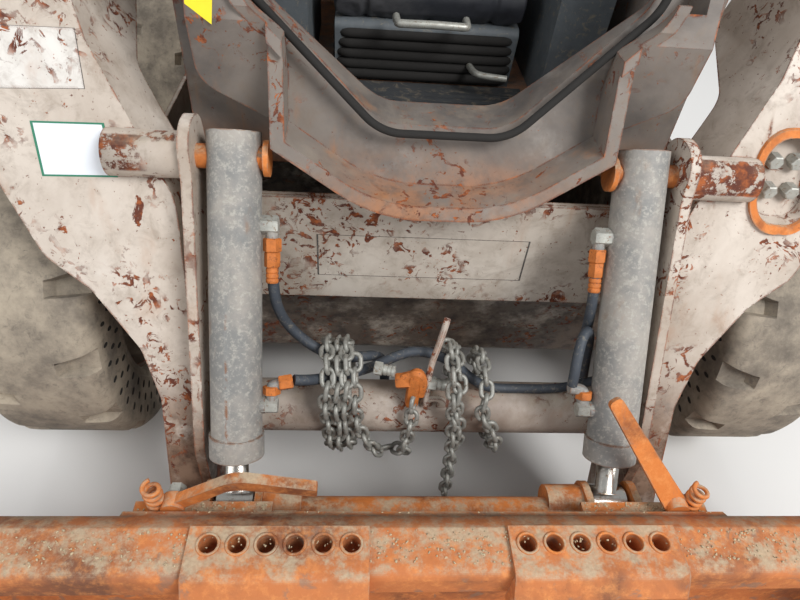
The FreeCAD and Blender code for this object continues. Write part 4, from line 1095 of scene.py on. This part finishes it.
def add_hoses():
    # route, its barrel, where it leaves the barrel's movement and where it has taken up the arms'
    runs = (
        ("lower_cross_hose", CROSS_HOSES[0], "tilt_barrel_right", (-0.262, -0.741, 0.609), (-0.165, -0.678, 0.550)),
        ("upper_cross_hose", CROSS_HOSES[1], "tilt_barrel_right", (-0.312, -0.612, 0.805), (-0.284, -0.634, 0.640)),
        ("upper_port_hose", PORT_HOSES[0], "tilt_barrel_left", (0.312, -0.618, 0.800), (0.326, -0.646, 0.660)),
        ("lower_port_hose", PORT_HOSES[1], "tilt_barrel_left", (0.284, -0.745, 0.630), (0.330, -0.662, 0.660)),
    )
    for name, route, barrel, start, end in runs:
        hose = add_piece(name, tube_along(route, 0.011), HOSE, None, (), 60.0)
        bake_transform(hose)
    rusty = [
        # on the crossing hoses: the tee at the middle and the joints beside it
        hex_sleeve((-0.066, -0.700, 0.560), (-0.030, -0.702, 0.566), 0.030),
        hex_sleeve((-0.026, -0.706, 0.584), (-0.030, -0.716, 0.500), 0.026),
        tube_along([(-0.050, -0.700, 0.566), (-0.030, -0.702, 0.576), (-0.022, -0.704, 0.590), (-0.010, -0.706, 0.560),
                    (-0.014, -0.708, 0.530)], 0.014),
        hex_sleeve((-0.298, -0.752, 0.612), (-0.272, -0.746, 0.612), 0.026),
    ]
    add_piece("rusty_joints", one_mesh(rusty), FITTING, "lift_arms", (), 40.0)
    bright = [
        hex_sleeve((-0.112, -0.690, 0.590), (-0.094, -0.694, 0.590), 0.026, 0.026),
        hex_sleeve((-0.002, -0.700, 0.556), (0.018, -0.698, 0.550), 0.028, 0.034),
    ]
    add_piece("crimped_sleeves", one_mesh(bright), ZINC, "lift_arms", (), 40.0)
    rod = tube_along([(0.030, -0.652, 0.700), (0.022, -0.668, 0.660), (0.004, -0.690, 0.600), (0.000, -0.712, 0.540),
                      (0.002, -0.716, 0.500)], 0.007)
    add_piece("bent_rod", rod, TUBE_PAINT, "lift_arms", (), 50.0)
    for name, side in SIDES:
        body = "tilt_barrel_" + name
        # on the barrel: hexagon joints at the upper and the lower port
        pieces = [
            hex_sleeve((side * 0.312, -0.592, 0.842), (side * 0.312, -0.606, 0.820), 0.030),
            hex_sleeve((side * 0.312, -0.606, 0.820), (side * 0.312, -0.622, 0.796), 0.026, 0.030),
            hex_sleeve((side * 0.312, -0.762, 0.590), (side * 0.312, -0.752, 0.604), 0.030),
        ]
        add_piece("port_joints_" + name, one_mesh(pieces), FITTING, body, (), 40.0)
        caps = [hex_sleeve((side * 0.334, -0.579, 0.862), (side * 0.300, -0.579, 0.862), 0.032),
                hex_sleeve((side * 0.334, -0.772, 0.570), (side * 0.300, -0.772, 0.570), 0.030)]
        add_piece("port_caps_" + name, one_mesh(caps), ZINC, body, (), 40.0)


def grid_patch(place, u_range, v_range, steps=(1, 1)):
    """A patch of faces from a place(u, v), as a mesh."""
    verts = []
    faces = []
    across, up = steps
    for j in range(up + 1):
        for i in range(across + 1):
            u = u_range[0] + (u_range[1] - u_range[0]) * i / across
            v = v_range[0] + (v_range[1] - v_range[0]) * j / up
            verts.append(place(u, v))
    for j in range(up):
        for i in range(across):
            a = j * (across + 1) + i
            faces.append((a, a + 1, a + across + 2, a + across + 1))
    mesh = bpy.data.meshes.new("patch")
    mesh.from_pydata(verts, [], faces)
    return mesh


def plate(corners, thick, aim):
    """A thin closed plate with its back on the corners and its face out along the aim."""
    lift = Vector(aim).normalized() * thick
    back = [Vector(c) for c in corners]
    front = [c + lift for c in back]
    count = len(back)
    verts = back + front
    faces = [tuple(range(count))[::-1], tuple(range(count, 2 * count))]
    for i in range(count):
        j = (i + 1) % count
        faces.append((i, j, count + j, count + i))
    mesh = bpy.data.meshes.new("plate")
    mesh.from_pydata(verts, [], faces)
    return faced_out(mesh)


def frame_of_plate(corners, inner, thick, aim):
    """A thin border between two outlines with the same number of corners."""
    meshes = []
    count = len(corners)
    for i in range(count):
        j = (i + 1) % count
        meshes.append(plate([corners[i], corners[j], inner[j], inner[i]], thick, aim))
    return one_mesh(meshes)


def shrunk(corners, share):
    middle = sum((Vector(c) for c in corners), Vector()) / len(corners)
    return [middle + (Vector(c) - middle) * share for c in corners]


def add_labels():
    """The places of the photograph's labels, kept blank."""
    out = Vector((0, -1, LEG_LEAN)).normalized()
    sticker = [leg_face(-0.733, 0.999), leg_face(-0.607, 1.001), leg_face(-0.590, 0.918), leg_face(-0.722, 0.915)]
    add_piece("blank_tag", plate(shrunk(sticker, 0.93), 0.0008, out), PAPER, "lift_arms", (),
              smooth=False)
    border = frame_of_plate(sticker, shrunk(sticker, 0.93), 0.0007, out)
    add_piece("blank_tag_border", border, PAPER_EDGE, "lift_arms", (), smooth=False)
    decal = [leg_face(-0.790, 1.134), leg_face(-0.642, 1.136), leg_face(-0.634, 1.050), leg_face(-0.790, 1.044)]
    add_piece("faded_decal", plate(decal, 0.0005, out), FADED, "lift_arms", (), smooth=False)
    edge = frame_of_plate(decal, shrunk(decal, 0.985), 0.0006, out)
    add_piece("faded_decal_border", edge, INK, "lift_arms", (), smooth=False)
    panel = [(-0.238, -0.495, 0.779), (0.212, -0.495, 0.779), (0.212, -0.495, 0.668), (-0.238, -0.495, 0.668)]
    edge = frame_of_plate(panel, shrunk(panel, 0.985), 0.0006, (0, -1, 0))
    add_piece("panel_border", edge, INK, "chassis", (), smooth=False)
    tag = [cab_face(-0.436, 1.222), cab_face(-0.392, 1.222), cab_face(-0.396, 1.180), cab_face(-0.436, 1.206)]
    add_piece("yellow_tag", plate(tag, 0.0008, (0, -1, CAB_LEAN)), YELLOW, "cab", (), smooth=False)


def add_coupler_details():
    """Springs, nuts and the grit that lies on the coupler and the bucket's beam."""
    springs = [(side * 0.505, -0.940, 0.4735) for side in (1, -1)]
    base = places_mesh([(place, (0, 0, 1)) for place in springs])
    add_piece("coupler_coils", COILS.make(base, RUST), RUST, "coupler", (), 60.0)
    nuts = []
    for side in (1, -1):
        nuts.append(((side * 0.472, -0.9296, 0.503), (0, 1, 0)))
        nuts.append(((side * 0.554, -0.845, 0.165), (side, 0, 0)))
    add_piece("coupler_nuts", BOLTS.make(places_mesh(nuts), ZINC, Across=0.030, Head=0.018, Washer=0.040), ZINC,
              "coupler")
    lips = []
    for side in (1, -1):
        for k in range(6):
            lips.append(((side * (0.150 + 0.047 * k), -1.0435, 0.5585), (0, 0, 1)))
    add_piece("bracket_pipe_rims", RINGS.make(places_mesh(lips), RUST, Radius=0.0175, Wire=0.0028), RUST, "coupler",
              (), 60.0)
    # grit: x from, x to, y front, y rear, height, density
    beds = (
        (-0.96, 0.96, -1.075, -1.016, 0.5505, 7000.0),
        (0.305, 0.548, -0.958, -0.924, 0.4695, 16000.0),
        (-0.548, -0.305, -0.958, -0.924, 0.4695, 16000.0),
        (-0.553, 0.553, -0.979, -0.967, 0.516, 16000.0),
    )
    stones = []
    for index, (x0, x1, y0, y1, z, density) in enumerate(beds):
        bed = grid_patch(lambda u, v: (u, v, z), (x0, x1), (y0, y1))
        stones.append(STONES.make(bed, GRIT, Density=density, Stone=0.0026, Seed=20 + index))
    add_piece("grit_on_ledges", one_mesh(stones), GRIT, "coupler", (), 60.0)


def add_cab_details():
    """Trim round the front opening, bolts, the floor mat, the seat's handle and lever."""
    corners = [(0.118, 1.016), (0.362, 1.235), (0.392, 1.955), (-0.392, 1.955), (-0.362, 1.235), (-0.118, 1.016)]
    path = [cab_face(x, z, 0.040) for x, z in corners]
    trim = TRIM.make(path_mesh(path, True), DARK_RUBBER_AND_HOLE_SHADE, Corner=0.10, Wire=0.0075)
    add_piece("opening_seal", trim, DARK_RUBBER_AND_HOLE_SHADE, "cab", (), 60.0)
    heads = []
    for side in (1, -1):
        for z in (1.36, 1.62, 1.86):
            heads.append((cab_face(side * 0.443, z), (0, -1, CAB_LEAN)))
        for y in (0.05, 0.30, 0.52):
            heads.append(((side * 0.475, y, 1.275), (side, 0, 0)))
    add_piece("cab_bolts", BOLTS.make(places_mesh(heads), RUST, Across=0.016, Head=0.007, Washer=0.022), RUST, "cab")
    ribs = []
    for k in range(12):
        y = -0.352 + k * 0.026
        ribs.append(plate([(-0.230, y, 0.8932), (0.230, y, 0.8932), (0.230, y + 0.013, 0.8932),
                           (-0.230, y + 0.013, 0.8932)],
                          0.006, (0, 0, 1)))
    ribs.append(plate([(-0.250, -0.365, 0.8930), (0.250, -0.365, 0.8930), (0.250, -0.015, 0.8930),
                       (-0.250, -0.015, 0.8930)],
                      0.003, (0, 0, 1)))
    add_piece("floor_mat", one_mesh(ribs), FLOOR_PLATE, "cab", (), smooth=False)
    handle = tube_along([(-0.080, -0.062, 1.070), (-0.080, -0.105, 1.070), (-0.070, -0.112, 1.072),
                         (0.0, -0.114, 1.074),
                         (0.070, -0.112, 1.072), (0.080, -0.105, 1.070), (0.080, -0.062, 1.070)], 0.009)
    add_piece("seat_handle", handle, ZINC, "cab", (), 60.0)
    lever = tube_along([(0.110, -0.020, 0.950), (0.112, -0.070, 0.956), (0.130, -0.096, 0.958),
                        (0.190, -0.100, 0.956)], 0.008)
    add_piece("seat_lever", lever, ZINC, "cab", (), 60.0)
    bellows = []
    for k in range(5):
        z = 0.915 + k * 0.024
        fold = path_mesh([(-0.212, -0.012, z), (0.212, -0.012, z), (0.212, 0.44, z), (-0.212, 0.44, z)], True)
        bellows.append(TRIM.make(fold, DARK_RUBBER_AND_HOLE_SHADE, Corner=0.03, Wire=0.013))
    add_piece("seat_bellows", one_mesh(bellows), DARK_RUBBER_AND_HOLE_SHADE, "cab", (), 60.0)


def padded_mesh(node, inset, cap, pressure, voxel=0.006):
    """A seat pad blown up from its CAD solid by cloth, each point moved no further than the cap."""
    mesh = nodes[node].data.copy()
    work = bmesh.new()
    work.from_mesh(mesh)
    bmesh.ops.remove_doubles(work, verts=work.verts, dist=2e-5)
    low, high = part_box(node)
    for vert in work.verts:
        for axis in range(3):
            size = (high[axis] - low[axis]) / 2
            centre = (high[axis] + low[axis]) / 2
            vert.co[axis] = centre + (vert.co[axis] - centre) * (1 - inset / size)
    work.to_mesh(mesh)
    work.free()
    pad = placed(node + "_pad", mesh)
    remesh = pad.modifiers.new("remesh", "REMESH")
    remesh.mode = "VOXEL"
    remesh.voxel_size = voxel
    remesh.use_smooth_shade = True
    start = worked_out(pad)
    pad.modifiers.clear()
    pad.data = start
    rest = [v.co.copy() for v in start.vertices]
    cloth = pad.modifiers.new("cloth", "CLOTH")
    cloth.settings.use_pressure = True
    cloth.settings.uniform_pressure_force = pressure
    cloth.settings.effector_weights.gravity = 0.0
    cloth.settings.quality = 4
    cloth.settings.tension_stiffness = 18
    cloth.settings.compression_stiffness = 18
    cloth.point_cache.frame_start = 1
    cloth.point_cache.frame_end = 20
    for step in range(1, 21):
        bpy.context.scene.frame_set(step)
    blown = worked_out(pad)
    pad.modifiers.clear()
    pad.data = blown
    for vert, before in zip(blown.vertices, rest):
        move = vert.co - before
        if move.length > cap:
            vert.co = before + move * (cap / move.length)
    bpy.context.scene.frame_set(1)
    return pad


def seam(mesh, distance, depth, width):
    """Pull the surface in along a sewn line, where distance(point) is how far a point is from it."""
    for vert in mesh.vertices:
        away = distance(vert.co)
        if away < width:
            vert.co -= vert.normal * depth * (0.5 + 0.5 * math.cos(math.pi * away / width))


def add_seat():
    cushion = padded_mesh("seat_cushion", 0.014, 0.016, 4.0)
    seam(cushion.data, lambda c: abs(abs(c.x) - 0.150), 0.008, 0.010)
    seam(cushion.data, lambda c: abs(c.y - 0.120) if abs(c.x) < 0.150 else 1.0, 0.006, 0.009)
    back = padded_mesh("seat_back", 0.014, 0.016, 4.0)
    seam(back.data, lambda c: abs(abs(c.x) - 0.140), 0.008, 0.010)
    for z in (1.24, 1.36, 1.48):
        seam(back.data, lambda c: abs(c.z - z) if abs(c.x) < 0.140 and c.y < 0.46 else 1.0, 0.006, 0.009)
    for pad, node in ((cushion, "seat_cushion"), (back, "seat_back")):
        mesh = pad.data
        mesh.name = node + "_cover"
        mesh.materials.clear()
        mesh.materials.append(VINYL)
        mesh.polygons.foreach_set("use_smooth", [True] * len(mesh.polygons))
        pad.name = node + "_cover"
        finer = pad.modifiers.new("finer", "SUBSURF")
        finer.levels = 1
        finer.render_levels = 1
        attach(pad, "cab")
        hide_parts(node)


def add_body_details():
    """Bolts on the frame, the hood and the rear, round the axle hubs and on the front panel."""
    heads = []
    for side in (1, -1):
        for y in (0.80, 1.10, 1.40, 1.60):
            heads.append(((side * 0.540, y, 1.180), (0, 0, 1)))
        for y, z in ((1.110, 1.250), (1.250, 1.250), (1.180, 1.330)):
            heads.append(((side * 0.600, y, z), (side, 0, 0)))
        for axle_y in AXLE_Y.values():
            for k in range(8):
                turn = 2 * math.pi * (k + 0.5) / 8
                place = (side * 0.614, axle_y + HUB_CIRCLE * math.sin(turn), TYRE_RADIUS + HUB_CIRCLE * math.cos(turn))
                heads.append((place, (side, 0, 0)))
    bolts = BOLTS.make(places_mesh(heads), RUST, Across=0.016, Head=0.008, Washer=0.022)
    add_piece("frame_bolts", bolts, RUST, "chassis")
    heads = [((side * 0.400, -0.495, z), (0, -1, 0)) for side in (1, -1) for z in (0.660, 0.830)]
    bolts = BOLTS.make(places_mesh(heads), RUST, Across=0.014, Head=0.006, Washer=0.020)
    add_piece("panel_bolts", bolts, RUST, "chassis")


def add_camera():
    data = bpy.data.cameras.new("camera")
    data.lens = CAMERA_LENS
    data.sensor_width = 36.0
    camera = bpy.data.objects.new("camera", data)
    bpy.context.scene.collection.objects.link(camera)
    forward = Vector((math.sin(CAMERA_TURN) * math.cos(CAMERA_DOWN),
                      math.cos(CAMERA_TURN) * math.cos(CAMERA_DOWN), -math.sin(CAMERA_DOWN)))
    level = Vector((math.cos(CAMERA_TURN), -math.sin(CAMERA_TURN), 0.0))
    above = level.cross(forward)
    right = math.cos(CAMERA_ROLL) * level + math.sin(CAMERA_ROLL) * above
    up = math.cos(CAMERA_ROLL) * above - math.sin(CAMERA_ROLL) * level
    turn = Matrix((right, up, -forward)).transposed()
    camera.matrix_world = Matrix.Translation(CAMERA_PLACE) @ turn.to_4x4()
    bpy.context.scene.camera = camera


def add_stage():
    """A pale floor under the tyres, a pale world, and broad soft lamps."""
    mesh = bpy.data.meshes.new("floor")
    half = 14.0
    mesh.from_pydata([(-half, -half, 0), (half, -half, 0), (half, half, 0), (-half, half, 0)], [], [(0, 1, 2, 3)])
    floor = bpy.data.objects.new("floor", mesh)
    bpy.context.scene.collection.objects.link(floor)
    material = bpy.data.materials.new("floor")
    material.use_nodes = True
    shader = material.node_tree.nodes["Principled BSDF"]
    shader.inputs["Base Color"].default_value = (0.70, 0.69, 0.67, 1)
    shader.inputs["Roughness"].default_value = 0.9
    mesh.materials.append(material)
    world = bpy.data.worlds.new("studio")
    world.use_nodes = True
    world.node_tree.nodes["Background"].inputs["Color"].default_value = (0.95, 0.97, 1.0, 1)
    world.node_tree.nodes["Background"].inputs["Strength"].default_value = 0.50
    bpy.context.scene.world = world
    for name, place, size, watts in (("key", (2.6, -3.4, 4.6), 2.2, 290), ("fill", (-3.6, -2.6, 3.4), 3.0, 76),
                                     ("back", (0.0, 4.2, 4.4), 3.0, 130)):
        data = bpy.data.lights.new(name, "AREA")
        data.size = size
        data.energy = watts
        lamp = bpy.data.objects.new(name, data)
        lamp.location = place
        aim = Vector((0, -0.3, 0.6)) - Vector(place)
        lamp.rotation_euler = aim.to_track_quat("-Z", "Y").to_euler()
        bpy.context.scene.collection.objects.link(lamp)


SKINS = (
    # finish, nodes
    (CREAM_FRAME, "main_frame"),
    (CREAM, "hood_grille tailgate axle_tubes"),
    (TUBE_PAINT, "arm_cross_tube"),
    (CREAM_PANEL, "front_panel"),
    (CAB_PAINT, "seat_bar"),
    (CAB_DARK, "cab_roof side_screens"),
    (RUST, "tilt_top_pins"),
    (BEAM_RUST, "bucket"),
    (CYLINDER, "tilt_barrel_left tilt_barrel_right lift_barrel_left lift_barrel_right"),
    (CHROME, "tilt_rod_left tilt_rod_right lift_rod_left lift_rod_right"),
    (IRON, "engine_block"),
    (GLASS, "rear_window"),
    (PLASTIC, "seat_base consoles joysticks"),
    (RIM, "rim_front_left rim_front_right rim_rear_left rim_rear_right"),
)

add_camera()
add_stage()
bpy.context.scene.view_settings.view_transform = "Standard"
for finish, names in SKINS:
    for node in names.split():
        dress(node, finish)
add_arms()
add_cab_frame()
add_coupler()
add_brackets()
add_port_elbows()
add_wheels()
add_chain()
add_hoses()
add_labels()
add_coupler_details()
add_cab_details()
add_seat()
add_body_details()
